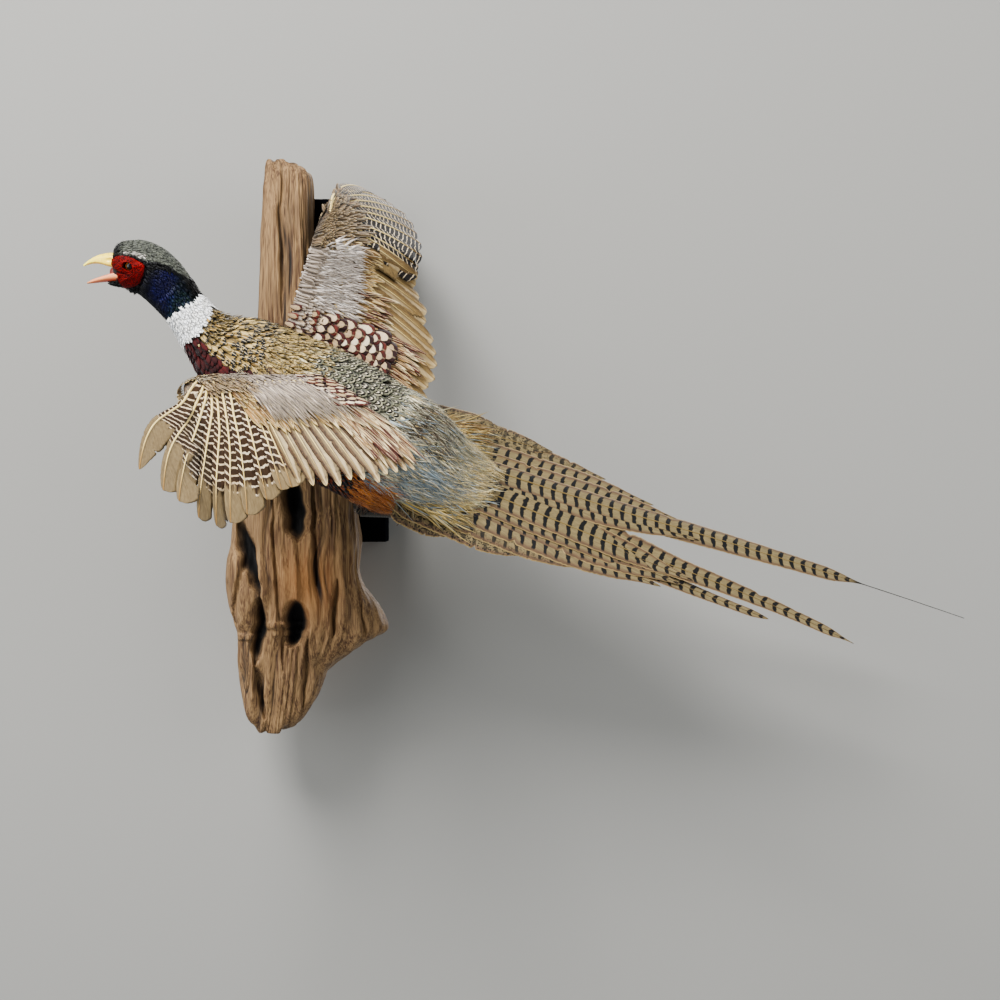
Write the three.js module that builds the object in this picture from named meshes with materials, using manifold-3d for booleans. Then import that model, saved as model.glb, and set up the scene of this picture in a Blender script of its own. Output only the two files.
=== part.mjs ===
// A ring-necked pheasant cock mounted in flight on a driftwood panel that hangs on a wall.
// Millimetres. X runs along the wall, Z is up, and the wall is the plane Y = 0: the mount lies in -Y.
// The origin is the middle of the hanger block's rear face. The bird flies towards -X, banked so
// that its back faces up and its left side faces away from the wall.

import * as THREE from 'three';
import { mergeVertices } from 'three/addons/utils/BufferGeometryUtils.js';
import Module from 'manifold-3d';

const wasm = await Module();
wasm.setup();

const vec = (x, y, z) => new THREE.Vector3(x, y, z);
const radians = THREE.MathUtils.degToRad;
const lerp = THREE.MathUtils.lerp;

// ---------------------------------------------------------------- driving dimensions

const GAP = 0.3; // clearance between pieces that touch

const HANGER = { wide: 110, tall: 344, deep: 45 };

// Driftwood outline from the top down: height, left and right edges, and how far the face stands out.
const WOOD_LEVELS = [
  { z: 203, left: -60, right: -40, face: -86 },
  { z: 196, left: -62, right: -23, face: -92 },
  { z: 180, left: -63, right: -14, face: -98 },
  { z: 120, left: -65, right: -14, face: -104 },
  { z: 40, left: -66, right: -10, face: -108 },
  { z: -40, left: -72, right: 12, face: -114 },
  { z: -110, left: -83, right: 30, face: -119 },
  { z: -160, left: -90, right: 33, face: -121 },
  { z: -205, left: -94, right: 37, face: -122 },
  { z: -238, left: -89, right: 51, face: -120 },
  { z: -257, left: -86, right: 59, face: -116 },
  { z: -272, left: -87, right: 34, face: -112 },
  { z: -295, left: -88, right: 4, face: -108 },
  { z: -325, left: -80, right: -12, face: -102 },
  { z: -347, left: -75, right: -30, face: -96 },
  { z: -357, left: -68, right: -48, face: -90 },
];
// Crevices that run down the face: where they start and end, their width and their depth.
const WOOD_CREVICES = [
  { top: [-82, -145], foot: [-60, -222], wide: 7, deep: 26 },
  { top: [-60, -222], foot: [-66, -290], wide: 6, deep: 22 },
  { top: [-30, -105], foot: [-22, -170], wide: 11, deep: 26 },
  { top: [-42, 190], foot: [-40, 40], wide: 3, deep: 6 },
  { top: [-24, -225], foot: [-30, -272], wide: 9, deep: 30 },
  { top: [16, -205], foot: [8, -268], wide: 6, deep: 16 },
];

const ROD = { x: -14, z: -44, radius: 5, from: -100, to: -158 };

// The body from the bill's root to the end of the rump. Each station gives the middle of the section,
// its half width, its reach towards the back and the belly, and the bank in degrees: how far the back
// leans out from the wall.
const BODY_STATIONS = [
  { at: [-172, -218, 77.5], wide: 8, back: 13, belly: 15, bank: 14 },
  { at: [-167, -218, 77.5], wide: 11, back: 18, belly: 19.5, bank: 14 },
  { at: [-157, -217, 78], wide: 15.5, back: 22.5, belly: 24.5, bank: 14 },
  { at: [-145, -215, 76], wide: 17.5, back: 24, belly: 25, bank: 15 },
  { at: [-133, -213, 68], wide: 18.5, back: 23.5, belly: 24, bank: 16 },
  { at: [-121.5, -211, 56], wide: 18.5, back: 21.5, belly: 23, bank: 18 },
  { at: [-112, -209, 43.5], wide: 18.5, back: 19.5, belly: 20.5, bank: 20 },
  { at: [-103, -207, 30.5], wide: 20, back: 22, belly: 20.5, bank: 22 },
  { at: [-93, -204, 16.5], wide: 24.5, back: 27, belly: 23, bank: 24 },
  { at: [-77, -200, 3], wide: 34, back: 37, belly: 34, bank: 25 },
  { at: [-50, -197, -12], wide: 45, back: 45, belly: 46, bank: 26 },
  { at: [-14, -195, -33], wide: 54, back: 52, belly: 55, bank: 28 },
  { at: [26, -194, -58], wide: 57, back: 56, belly: 60, bank: 31 },
  { at: [66, -193, -81], wide: 54, back: 54, belly: 58, bank: 35 },
  { at: [102, -190, -98], wide: 45, back: 46, belly: 48, bank: 40 },
  { at: [134, -187, -110], wide: 34, back: 23, belly: 27, bank: 44 },
  { at: [163, -184, -120], wide: 21, back: 11, belly: 13, bank: 46 },
  { at: [182, -182, -127], wide: 9, back: 5, belly: 6, bank: 46 },
];
// Where the body is parted, in stations.
const BODY_PARTS = { head: [0.2, 4.5], neck: [4.5, 8.3], trunk: [8.3, 13.3], rump: [13.3, 16.95] };

const EYE = { station: 2.12, across: 12.6, back: -0.5, radius: 4.6 };
const WATTLE = { station: 2.05, across: 11.5, back: -4, long: 15.5, tall: 16, thick: 7.5 };

// Each wing is set by points on its leading edge and by the directions of its upper side and its tip.
// Sweep and lift are a feather's angles, in degrees, at even steps from the wing tip to the body.
const WINGS = {
  left: {
    handEnd: [-91, -286, -49],
    wrist: [-79, -246, -22],
    shoulder: [-3, -237, -20],
    upper: [0.44, -0.45, 0.777],
    outward: [-0.077, -0.879, -0.47],
    sweep: [0, 16, 30, 42, 49, 53, 54, 55, 56, 57, 58],
    lift: [7, 2, -7, -7, -6, -6, -4, -2, 0, 1, 1],
    bulge: 15,
  },
  right: {
    handEnd: [16, -209, 127],
    wrist: [3, -239, 90],
    shoulder: [-22, -207, 28],
    upper: [0.5, -0.36, 0.79],
    outward: [0.07, 0.935, 0.35],
    sweep: [5, 15, 26, 38, 43, 44, 52, 60, 68, 77, 82],
    lift: [-1, 1, 2, 2, 0, -1, 0, -1, -1, -2, -3],
    bulge: 3,
  },
};
// Flight feathers from the wing tip inwards, measured from the leading edge of the spread wing.
const PRIMARY_LENGTHS = [160, 169, 176, 182, 178, 168, 160, 149, 141, 138];
const SECONDARY_COUNT = 14;
const SECONDARY_LENGTHS = [138, 144, 151, 148]; // at even steps from the wrist to the body
const WING_SPLIT = 0.36; // part of the chord that is flesh and coverts
const WING_ARM_PROFILE = [[0, 0], [0.02, 3.4], [0.07, 5.2], [0.15, 4.8], [0.25, 3], [0.36, 1.7]];
const WING_VANE_PROFILE = [[0.365, 1.6], [0.62, 1.2], [0.86, 0.8], [1, 0.5]];
const FEATHER_CAMBER = 0.055; // rise of a feather's middle over its chord, as a part of its length
const FEATHER_BOW = 0.07; // forward bend of the outermost feather, as a part of its length
const BOWED_FEATHERS = 6; // the bend fades out over this many feathers
const FEATHER_NOTCH = { reach: 0.9, tip: 0.18 }; // reach between two tips, and half a blunt tip's width
const LEADING_VANE = 0.18; // width of the wing tip's narrow outer vane, in feathers

const TAIL = { root: [68, -190, -85], along: [0.944, 0.06, -0.325], bank: 48 };
// Tail feathers from the far edge to the near one: place across the root, length and fan angle.
const TAIL_FAN = [
  { across: 65, length: 98, angle: 9 },
  { across: 59, length: 148, angle: 6 },
  { across: 48, length: 203, angle: 4.2 },
  { across: 35, length: 252, angle: 3.2 },
  { across: 21, length: 292, angle: 3.4 },
  { across: 5, length: 300, angle: 3.2 },
  { across: -5, length: 300, angle: -4.2 },
  { across: -15, length: 290, angle: -4 },
  { across: -26, length: 272, angle: -3.8 },
  { across: -37, length: 216, angle: -3 },
  { across: -46, length: 152, angle: -4.5 },
  { across: -52, length: 84, angle: -7 },
];
const STREAMERS = [
  { name: 'tail_streamer_right', across: 13, length: 566, angle: 2.7, wide: 24, bend: 5 },
  { name: 'tail_streamer_left', across: -3, length: 458, angle: -3.9, wide: 26, bend: 0 },
  { name: 'tail_streamer_outer', across: -15, length: 376, angle: -3.4, wide: 22, bend: 0 },
];

const LEGS = {
  left: { hip: [60, -200, -98], ankle: [43, -180, -141], foot: [102, -163, -145], toes: [146, -159, -153] },
  right: { hip: [72, -158, -94], ankle: [66, -140, -132], foot: [124, -141, -148], toes: [167, -144, -160] },
};
const LEG_RADII = { thigh: [25, 19, 6], shank: [4.2, 3.6, 4.2], foot: [5.5, 6.5, 2.5] };

// Mesh density
const BODY_AROUND = 16;
const BODY_RINGS_PER_STATION = 2;
const WOOD_AROUND = 20;
const WOOD_RINGS = 26;
const TUBE_AROUND = 8;
const TUBE_RINGS_PER_STEP = 2;
const ROD_AROUND = 16;
const BALL_DETAIL = 6;

// ---------------------------------------------------------------- solids from points and faces

// Six times the signed volume: negative when the faces point inwards.
function signedVolume(points, faces) {
  return faces.reduce((sum, [a, b, c]) => {
    const normal = points[b].clone().cross(points[c]);
    return sum + points[a].dot(normal);
  }, 0);
}

// An indexed geometry with its faces pointing out, shared points merged and flat faces dropped.
function closedGeometry(points, faces) {
  const outward = signedVolume(points, faces) > 0;
  const ordered = faces.map(([a, b, c]) => (outward ? [a, b, c] : [a, c, b]));
  const raw = new THREE.BufferGeometry();
  raw.setAttribute('position', new THREE.Float32BufferAttribute(points.flatMap((p) => p.toArray()), 3));
  raw.setIndex(ordered.flat());
  const merged = mergeVertices(raw, 1e-3);
  const index = merged.index.array;
  const kept = [];
  for (let i = 0; i < index.length; i += 3) {
    const [a, b, c] = [index[i], index[i + 1], index[i + 2]];
    if (a !== b && b !== c && c !== a) kept.push(a, b, c);
  }
  merged.setIndex(kept);
  return merged;
}

// Closed body through rings of equal count, each end closed by a fan about its middle.
function loft(rings) {
  const count = rings[0].length;
  const middle = (ring) => ring.reduce((sum, p) => sum.add(p), vec(0, 0, 0)).divideScalar(count);
  const points = rings.flat();
  const start = points.push(middle(rings[0])) - 1;
  const end = points.push(middle(rings.at(-1))) - 1;
  const last = (rings.length - 1) * count;
  const faces = [];
  for (let j = 0; j < count; j += 1) {
    const next = (j + 1) % count;
    faces.push([start, next, j]);
    faces.push([end, last + j, last + next]);
    for (let i = 0; i < rings.length - 1; i += 1) {
      const low = i * count;
      const high = low + count;
      faces.push([low + j, low + next, high + next]);
      faces.push([low + j, high + next, high + j]);
    }
  }
  return closedGeometry(points, faces);
}

// Closed plate: grid[row][column] holds the upper and the lower point there.
function plate(grid) {
  const rows = grid.length;
  const columns = grid[0].length;
  const points = grid.flat().flat();
  const at = (row, column, side) => (row * columns + column) * 2 + side;
  const faces = [];
  const quad = (a, b, c, d) => faces.push([a, b, c], [a, c, d]);
  for (let i = 0; i < rows - 1; i += 1) {
    for (let j = 0; j < columns - 1; j += 1) {
      quad(at(i, j, 0), at(i + 1, j, 0), at(i + 1, j + 1, 0), at(i, j + 1, 0));
      quad(at(i, j, 1), at(i, j + 1, 1), at(i + 1, j + 1, 1), at(i + 1, j, 1));
    }
    quad(at(i, 0, 0), at(i, 0, 1), at(i + 1, 0, 1), at(i + 1, 0, 0));
    quad(at(i, columns - 1, 0), at(i + 1, columns - 1, 0), at(i + 1, columns - 1, 1), at(i, columns - 1, 1));
  }
  for (let j = 0; j < columns - 1; j += 1) {
    quad(at(0, j, 0), at(0, j + 1, 0), at(0, j + 1, 1), at(0, j, 1));
    quad(at(rows - 1, j, 0), at(rows - 1, j, 1), at(rows - 1, j + 1, 1), at(rows - 1, j + 1, 0));
  }
  return closedGeometry(points, faces);
}

function toManifold(geometry) {
  const bare = geometry.clone();
  bare.deleteAttribute('normal');
  bare.deleteAttribute('uv');
  const merged = mergeVertices(bare, 1e-3);
  const vertProperties = new Float32Array(merged.attributes.position.array);
  const triVerts = new Uint32Array(merged.index.array);
  return new wasm.Manifold(new wasm.Mesh({ numProp: 3, vertProperties, triVerts }));
}

function fromManifold(solid) {
  const mesh = solid.getMesh();
  const geometry = new THREE.BufferGeometry();
  geometry.setAttribute('position', new THREE.BufferAttribute(mesh.vertProperties, 3));
  geometry.setIndex(new THREE.BufferAttribute(mesh.triVerts, 1));
  return geometry;
}

// The geometry with every tool taken away; only the largest piece is kept.
function cut(geometry, tools) {
  const rest = tools.reduce((solid, tool) => solid.subtract(toManifold(tool)), toManifold(geometry));
  const pieces = rest.decompose();
  pieces.sort((a, b) => b.volume() - a.volume());
  return fromManifold(pieces[0]);
}

const ellipsoid = (centre, axes, sizes, detail) => {
  const shape = new THREE.SphereGeometry(1, detail * 2, detail);
  const scaled = axes.map((axis, i) => axis.clone().multiplyScalar(sizes[i]));
  return shape.applyMatrix4(new THREE.Matrix4().makeBasis(...scaled).setPosition(centre));
};

// ---------------------------------------------------------------- the body's frame and sections

const smooth = (points) => new THREE.CatmullRomCurve3(points, false, 'catmullrom', 0.5);
const lastStation = BODY_STATIONS.length - 1;
const bodyLine = smooth(BODY_STATIONS.map(({ at }) => vec(...at)));
const bodySizes = smooth(BODY_STATIONS.map(({ wide, back, belly }) => vec(wide, back, belly)));
const bodyBank = smooth(BODY_STATIONS.map(({ bank }) => vec(bank, 0, 0)));

// Right-handed axes about a direction that runs tailwards. The back leans out from the wall by the bank.
function bankedFrame(tailward, bank) {
  const along = tailward.clone().normalize();
  const risen = along.clone().cross(vec(0, 1, 0)).normalize();
  const outward = risen.clone().cross(along).negate();
  const back = risen.clone().multiplyScalar(Math.cos(radians(bank)));
  back.addScaledVector(outward, Math.sin(radians(bank)));
  const right = back.clone().cross(along);
  return { along, back, right };
}

function bodyAt(station) {
  const u = station / lastStation;
  const sizes = bodySizes.getPoint(u);
  const frame = bankedFrame(bodyLine.getTangent(u), bodyBank.getPoint(u).x);
  return { centre: bodyLine.getPoint(u), wide: sizes.x, up: sizes.y, down: sizes.z, ...frame };
}

function offsetFrom({ centre, right, back }, across, rise) {
  return centre.clone().addScaledVector(right, across).addScaledVector(back, rise);
}

// Half ellipses towards the back and the belly, on one width.
function bodyRing(station, grow) {
  const body = bodyAt(station);
  return Array.from({ length: BODY_AROUND }, (_, j) => {
    const angle = (2 * Math.PI * j) / BODY_AROUND;
    const reach = Math.sin(angle) > 0 ? body.up : body.down;
    return offsetFrom(body, (body.wide + grow) * Math.cos(angle), (reach + grow) * Math.sin(angle));
  });
}

// Rings from one station to another, drawn back by half the gap at each end. Growing it adds the
// clearance all round.
function bodyLoft([from, to], grow = 0) {
  const probe = 0.01;
  const closest = 0.05;
  const trim = (station, side) => {
    const [before, after] = [station - probe, station + probe].map((s) => bodyLine.getPoint(s / lastStation));
    const millimetres = before.distanceTo(after) / (2 * probe);
    return station + (side * (GAP / 2 - grow)) / millimetres;
  };
  const start = trim(from, 1);
  const end = trim(to, -1);
  const count = lastStation * BODY_RINGS_PER_STATION;
  const all = Array.from({ length: count }, (_, i) => i / BODY_RINGS_PER_STATION);
  const between = all.filter((station) => station > start + closest && station < end - closest);
  return loft([start, ...between, end].map((station) => bodyRing(station, grow)));
}

// ---------------------------------------------------------------- wings

const FEATHER_COUNT = PRIMARY_LENGTHS.length + SECONDARY_COUNT;
const WRIST_PLACE = PRIMARY_LENGTHS.length - 0.5;
const INNER_PLACE = FEATHER_COUNT - 0.5;

// Straight lines through values spaced evenly between two places.
function through(values, place, from, to) {
  const reach = ((place - from) / (to - from)) * (values.length - 1);
  const index = THREE.MathUtils.clamp(Math.floor(reach), 0, values.length - 2);
  return lerp(values[index], values[index + 1], reach - index);
}

function featherLength(place) {
  const lastPrimary = PRIMARY_LENGTHS.length - 1;
  return place < lastPrimary
    ? through(PRIMARY_LENGTHS, place, 0, lastPrimary)
    : through(SECONDARY_LENGTHS, place, lastPrimary, FEATHER_COUNT - 1);
}

// The spread wing as a surface. The place counts feathers from the wing tip; t runs from the leading
// edge (0) to the feather's tip (1). A feather leaves the leading edge at its sweep angle, turned in
// the wing's plane from the outward direction, and arches over its chord.
function wingSurface(side) {
  const wing = WINGS[side];
  const upper = vec(...wing.upper).normalize();
  const outward = vec(...wing.outward).projectOnPlane(upper).normalize();
  const backward = upper.clone().cross(outward).multiplyScalar(side === 'left' ? 1 : -1);
  const [tip, wrist, inner] = [wing.handEnd, wing.wrist, wing.shoulder].map((p) => vec(...p));
  const hand = tip.clone().lerp(wrist, 0.5).addScaledVector(backward, -wing.bulge);
  const arm = wrist.clone().lerp(inner, 0.5);
  const edge = smooth([tip, hand, wrist, arm, inner]);
  const edgeAt = (place) => {
    const onHand = place / WRIST_PLACE;
    const onArm = 1 + (place - WRIST_PLACE) / (INNER_PLACE - WRIST_PLACE);
    return edge.getPoint(THREE.MathUtils.clamp(place < WRIST_PLACE ? onHand : onArm, 0, 2) / 2);
  };
  return (place, t, height) => {
    const sweep = radians(through(wing.sweep, place, 0, INNER_PLACE));
    const lift = radians(through(wing.lift, place, 0, INNER_PLACE));
    const length = featherLength(place);
    const arch = 4 * t * (1 - t) * length;
    const bow = FEATHER_BOW * THREE.MathUtils.clamp(1 - place / BOWED_FEATHERS, 0, 1);
    return edgeAt(place)
      .addScaledVector(outward, Math.cos(lift) * Math.cos(sweep) * length * t)
      .addScaledVector(backward, Math.cos(lift) * Math.sin(sweep) * length * t - bow * arch)
      .addScaledVector(upper, Math.sin(lift) * length * t + FEATHER_CAMBER * arch + height);
  };
}

// Places across a run of feathers: each has a notch on either side of its blunt tip.
function featherPlaces(first, last, outerVane = 0.5) {
  const places = [];
  for (let k = first; k <= last; k += 1) {
    places.push({ place: k - (k === first ? outerVane : 0.5), reach: FEATHER_NOTCH.reach });
    const blunt = k === first ? [0, FEATHER_NOTCH.tip] : [-FEATHER_NOTCH.tip, FEATHER_NOTCH.tip];
    places.push(...blunt.map((side) => ({ place: k + side, reach: 1 })));
  }
  places.push({ place: last + 0.5, reach: FEATHER_NOTCH.reach });
  return places;
}

const PART_PLACE = 0.03; // half the cut between hand and arm, in feathers

function partedPlaces(places) {
  return places.map(({ place, reach }, i) => {
    const inset = i === 0 ? PART_PLACE : i === places.length - 1 ? -PART_PLACE : 0;
    return { place: place + inset, reach };
  });
}

// The surface between the rows of a thickness profile. Rows past the split follow each feather's reach.
function wingPlate(surface, places, profile, grow = 0) {
  return plate(profile.map(([t, half]) => places.map(({ place, reach }) => {
    const along = t > WING_SPLIT ? lerp(t, t * reach, (t - WING_SPLIT) / (1 - WING_SPLIT)) : t;
    return [surface(place, along, half + grow), surface(place, along, -half - grow)];
  })));
}

// Scapular web from the inner edge of the wing into the body.
const WEB = {
  front: 10.1, rear: 12.4, rows: 4, columns: 3, reach: 0.72, inset: 0.08, wingHalf: 3.5, bodyHalf: 15,
};

function scapularWeb(surface) {
  const edgePlace = INNER_PLACE + WEB.inset;
  const steps = (count) => Array.from({ length: count }, (_, i) => i / (count - 1));
  return plate(steps(WEB.rows).map((along) => {
    const wingTop = surface(edgePlace, along * WEB.reach, WEB.wingHalf);
    const wingFoot = surface(edgePlace, along * WEB.reach, -WEB.wingHalf);
    const body = bodyAt(lerp(WEB.front, WEB.rear, along));
    const bodyTop = offsetFrom(body, 0, WEB.bodyHalf);
    const bodyFoot = offsetFrom(body, 0, -WEB.bodyHalf);
    return steps(WEB.columns).map((inward) => [
      wingTop.clone().lerp(bodyTop, inward),
      wingFoot.clone().lerp(bodyFoot, inward),
    ]);
  }));
}

// ---------------------------------------------------------------- tail

const TAIL_DROOP = { rate: 0.0015, limit: 60 }; // fall of the sides per square of their reach, and its limit
const TAIL_HALF = [6, 0.8]; // half thickness at the root and at the tips
const TAIL_ROWS = [0, 0.4, 0.8, 1];
const tailFrame = { centre: vec(...TAIL.root), ...bankedFrame(vec(...TAIL.along), TAIL.bank) };

function tailPoint(across, angle, distance, height) {
  const reach = across + distance * Math.sin(radians(angle));
  const drop = TAIL_DROOP.rate * Math.min(Math.abs(reach), TAIL_DROOP.limit) ** 2;
  return offsetFrom(tailFrame, reach, height - drop)
    .addScaledVector(tailFrame.along, distance * Math.cos(radians(angle)));
}

function tailFan(grow = 0) {
  const at = (key, place) => through(TAIL_FAN.map((feather) => feather[key]), place, 0, TAIL_FAN.length - 1);
  const places = featherPlaces(0, TAIL_FAN.length - 1);
  return plate(TAIL_ROWS.map((t) => places.map(({ place, reach }) => {
    const distance = (at('length', place) * lerp(1, reach, t) + grow) * t;
    const half = lerp(TAIL_HALF[0], TAIL_HALF[1], Math.sqrt(t)) + grow;
    const [across, angle] = [at('across', place), at('angle', place)];
    return [half, -half].map((height) => tailPoint(across, angle, distance, height));
  })));
}

const STREAMER = { start: 230, half: 0.7, spacing: 2.2, rows: 12, tipWide: 3 };

// A long tail feather past the fan: it tapers to its tip and bends gently outwards in between.

function streamer({ across, length, angle, wide, bend }, layer) {
  return plate(Array.from({ length: STREAMER.rows }, (_, i) => {
    const reach = i / (STREAMER.rows - 1);
    const distance = lerp(STREAMER.start, length, reach);
    const width = lerp(wide, STREAMER.tipWide, distance / length) / 2;
    const bent = bend * 4 * reach * (1 - reach);
    return [-width, 0, width].map((sideways) => {
      const middle = tailPoint(across + bent, angle, distance, -layer * STREAMER.spacing);
      return [STREAMER.half, -STREAMER.half].map((height) => middle.clone()
        .addScaledVector(tailFrame.right, sideways)
        .addScaledVector(tailFrame.back, height));
    });
  }));
}

// ---------------------------------------------------------------- round pieces

// A tube through points, with a radius at each. Growing it makes it wider and longer by the clearance.
function tube(points, radii, grow = 0) {
  const line = smooth(points);
  const count = (points.length - 1) * TUBE_RINGS_PER_STEP;
  const size = line.getLength();
  const rings = Array.from({ length: count + 1 }, (_, i) => {
    const trim = grow > 0 ? 0 : GAP / size;
    const u = lerp(trim, 1 - trim, i / count);
    const frame = bankedFrame(line.getTangent(u), 0);
    const centre = line.getPoint(u);
    const radius = through(radii, u, 0, 1) + grow;
    return Array.from({ length: TUBE_AROUND }, (_, j) => {
      const angle = (2 * Math.PI * j) / TUBE_AROUND;
      return offsetFrom({ centre, ...frame }, radius * Math.cos(angle), radius * Math.sin(angle));
    });
  });
  return loft(rings);
}

function leg({ hip, ankle, foot: heel, toes }) {
  const [top, joint, end, tip] = [hip, ankle, heel, toes].map((p) => vec(...p));
  const line = (from, to) => [from, from.clone().lerp(to, 0.5), to];
  const grownShank = tube(line(joint, end), LEG_RADII.shank, GAP);
  return {
    thigh: cut(tube(line(top, joint), LEG_RADII.thigh), [grownShank]),
    shank: tube(line(joint, end), LEG_RADII.shank),
    foot: cut(tube(line(end, tip), LEG_RADII.foot), [grownShank]),
  };
}

function rod(grow = 0) {
  const long = ROD.from - ROD.to + 2 * grow;
  const shape = new THREE.CylinderGeometry(ROD.radius + grow, ROD.radius + grow, long, ROD_AROUND);
  return shape.translate(ROD.x, (ROD.from + ROD.to) / 2, ROD.z);
}

// ---------------------------------------------------------------- bill, eyes and wattles

const BILL_Y = -218;
// Each row: distance along -X, top, bottom and half width.
const UPPER_BILL = [
  [-166, 88.8, 73.4, 7.6],
  [-171.5, 88.6, 73.6, 7],
  [-177, 88.2, 75, 6.3],
  [-183, 87, 77.4, 5.2],
  [-188.5, 84.8, 78.4, 4],
  [-193.5, 81.8, 77.9, 2.7],
  [-198, 78.3, 76.3, 0.9],
];
const LOWER_BILL = [
  [-166, 72.4, 62.8, 6.4],
  [-171.5, 71.6, 62.8, 5.8],
  [-177, 69.6, 62.8, 5.3],
  [-183, 67.6, 62.4, 4.4],
  [-189, 65.3, 61.7, 3.3],
  [-194.8, 62.6, 61.2, 1.1],
];

function bill(rows) {
  return loft(rows.map(([x, top, bottom, wide]) => Array.from({ length: TUBE_AROUND }, (_, j) => {
    const angle = (2 * Math.PI * j) / TUBE_AROUND;
    return vec(x, BILL_Y + wide * Math.cos(angle), lerp(bottom, top, 0.5 + 0.5 * Math.sin(angle)));
  })));
}

function eye(sign, grow = 0) {
  const head = bodyAt(EYE.station);
  const axes = [head.along, head.right, head.back];
  const sizes = Array(3).fill(EYE.radius + grow);
  return ellipsoid(offsetFrom(head, sign * EYE.across, EYE.back), axes, sizes, BALL_DETAIL);
}

function wattle(sign) {
  const head = bodyAt(WATTLE.station);
  const axes = [head.along, head.right, head.back];
  const sizes = [WATTLE.long, WATTLE.thick, WATTLE.tall];
  return ellipsoid(offsetFrom(head, sign * WATTLE.across, WATTLE.back), axes, sizes, BALL_DETAIL);
}

// ---------------------------------------------------------------- driftwood

const WOOD_SQUARENESS = 0.55; // 1 is an ellipse, 0 a box

function woodCrevice(x, z) {
  return WOOD_CREVICES.reduce((sum, { top, foot, wide, deep }) => {
    const fall = (top[1] - z) / (top[1] - foot[1]);
    if (fall < 0 || fall > 1) return sum;
    const off = (x - lerp(top[0], foot[0], fall)) / wide;
    return sum + deep * Math.exp(-off * off) * Math.min(1, 4 * fall, 4 * (1 - fall));
  }, 0);
}

// Long shallow ridges of the grain, with a slow twist.
const woodGrain = (x, z) => 1.6 * Math.sin(0.21 * x + 0.006 * z) + 1.1 * Math.sin(0.47 * x - 0.011 * z + 2);

function woodRing({ z, left, right, face }) {
  const rear = -HANGER.deep - GAP;
  const middle = [(left + right) / 2, (face + rear) / 2];
  const half = [(right - left) / 2, (rear - face) / 2];
  const squared = (value) => Math.sign(value) * Math.abs(value) ** WOOD_SQUARENESS;
  return Array.from({ length: WOOD_AROUND }, (_, j) => {
    const angle = (2 * Math.PI * (j + 0.5)) / WOOD_AROUND;
    const x = middle[0] + half[0] * squared(Math.cos(angle));
    const y = middle[1] + half[1] * squared(Math.sin(angle));
    const front = THREE.MathUtils.clamp((middle[1] - y) / half[1], 0, 1);
    return vec(x, y + front * (woodCrevice(x, z) + woodGrain(x, z)), z);
  });
}

function driftwood() {
  const heights = smooth(WOOD_LEVELS.map(({ z, left, right }) => vec(z, left, right)));
  const faces = smooth(WOOD_LEVELS.map(({ face }) => vec(face, 0, 0)));
  return loft(Array.from({ length: WOOD_RINGS }, (_, i) => {
    const u = i / (WOOD_RINGS - 1);
    const { x: z, y: left, z: right } = heights.getPoint(u);
    return woodRing({ z, left, right, face: faces.getPoint(u).x });
  }));
}

// ---------------------------------------------------------------- the model

const FINISHES = {
  black_board: { color: 0x17181b, roughness: 0.7, metalness: 0 },
  driftwood: { color: 0x8a6642, roughness: 0.9, metalness: 0 },
  steel_rod: { color: 0x8c8f92, roughness: 0.4, metalness: 1 },
  dark_plumage: { color: 0x142038, roughness: 0.45, metalness: 0 },
  gold_plumage: { color: 0xa98a55, roughness: 0.8, metalness: 0 },
  grey_plumage: { color: 0x8f9389, roughness: 0.85, metalness: 0 },
  wing_feather: { color: 0x8b7558, roughness: 0.7, metalness: 0 },
  tail_feather: { color: 0xa08a62, roughness: 0.7, metalness: 0 },
  bare_skin: { color: 0xa5161b, roughness: 0.6, metalness: 0 },
  bill_horn: { color: 0xe6d080, roughness: 0.4, metalness: 0 },
  eye_glass: { color: 0x8a5a20, roughness: 0.05, metalness: 0 },
  leg_scale: { color: 0x8b857a, roughness: 0.6, metalness: 0 },
};

const pheasant = new THREE.Group();

function add(name, geometry, finish) {
  geometry.computeVertexNormals();
  const mesh = new THREE.Mesh(geometry, new THREE.MeshStandardMaterial(FINISHES[finish]));
  mesh.name = name;
  pheasant.add(mesh);
  return mesh;
}

const hanger = new THREE.BoxGeometry(HANGER.wide, HANGER.deep, HANGER.tall);
add('hanger_block', hanger, 'black_board').position.y = -HANGER.deep / 2;
add('driftwood', cut(driftwood(), [rod(GAP)]), 'driftwood');
add('mounting_rod', rod(), 'steel_rod');

const grownBody = [BODY_PARTS.trunk, BODY_PARTS.rump].map((part) => bodyLoft(part, GAP));
const eyes = [eye(-1, GAP), eye(1, GAP)];
add('head', cut(bodyLoft(BODY_PARTS.head), eyes), 'dark_plumage');
add('neck', bodyLoft(BODY_PARTS.neck), 'dark_plumage');
add('trunk', cut(bodyLoft(BODY_PARTS.trunk), [rod(GAP)]), 'gold_plumage');
add('rump', bodyLoft(BODY_PARTS.rump), 'grey_plumage');

const grownHead = bodyLoft(BODY_PARTS.head, GAP);
add('upper_bill', cut(bill(UPPER_BILL), [grownHead]), 'bill_horn');
add('lower_bill', cut(bill(LOWER_BILL), [grownHead]), 'bill_horn');

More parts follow.
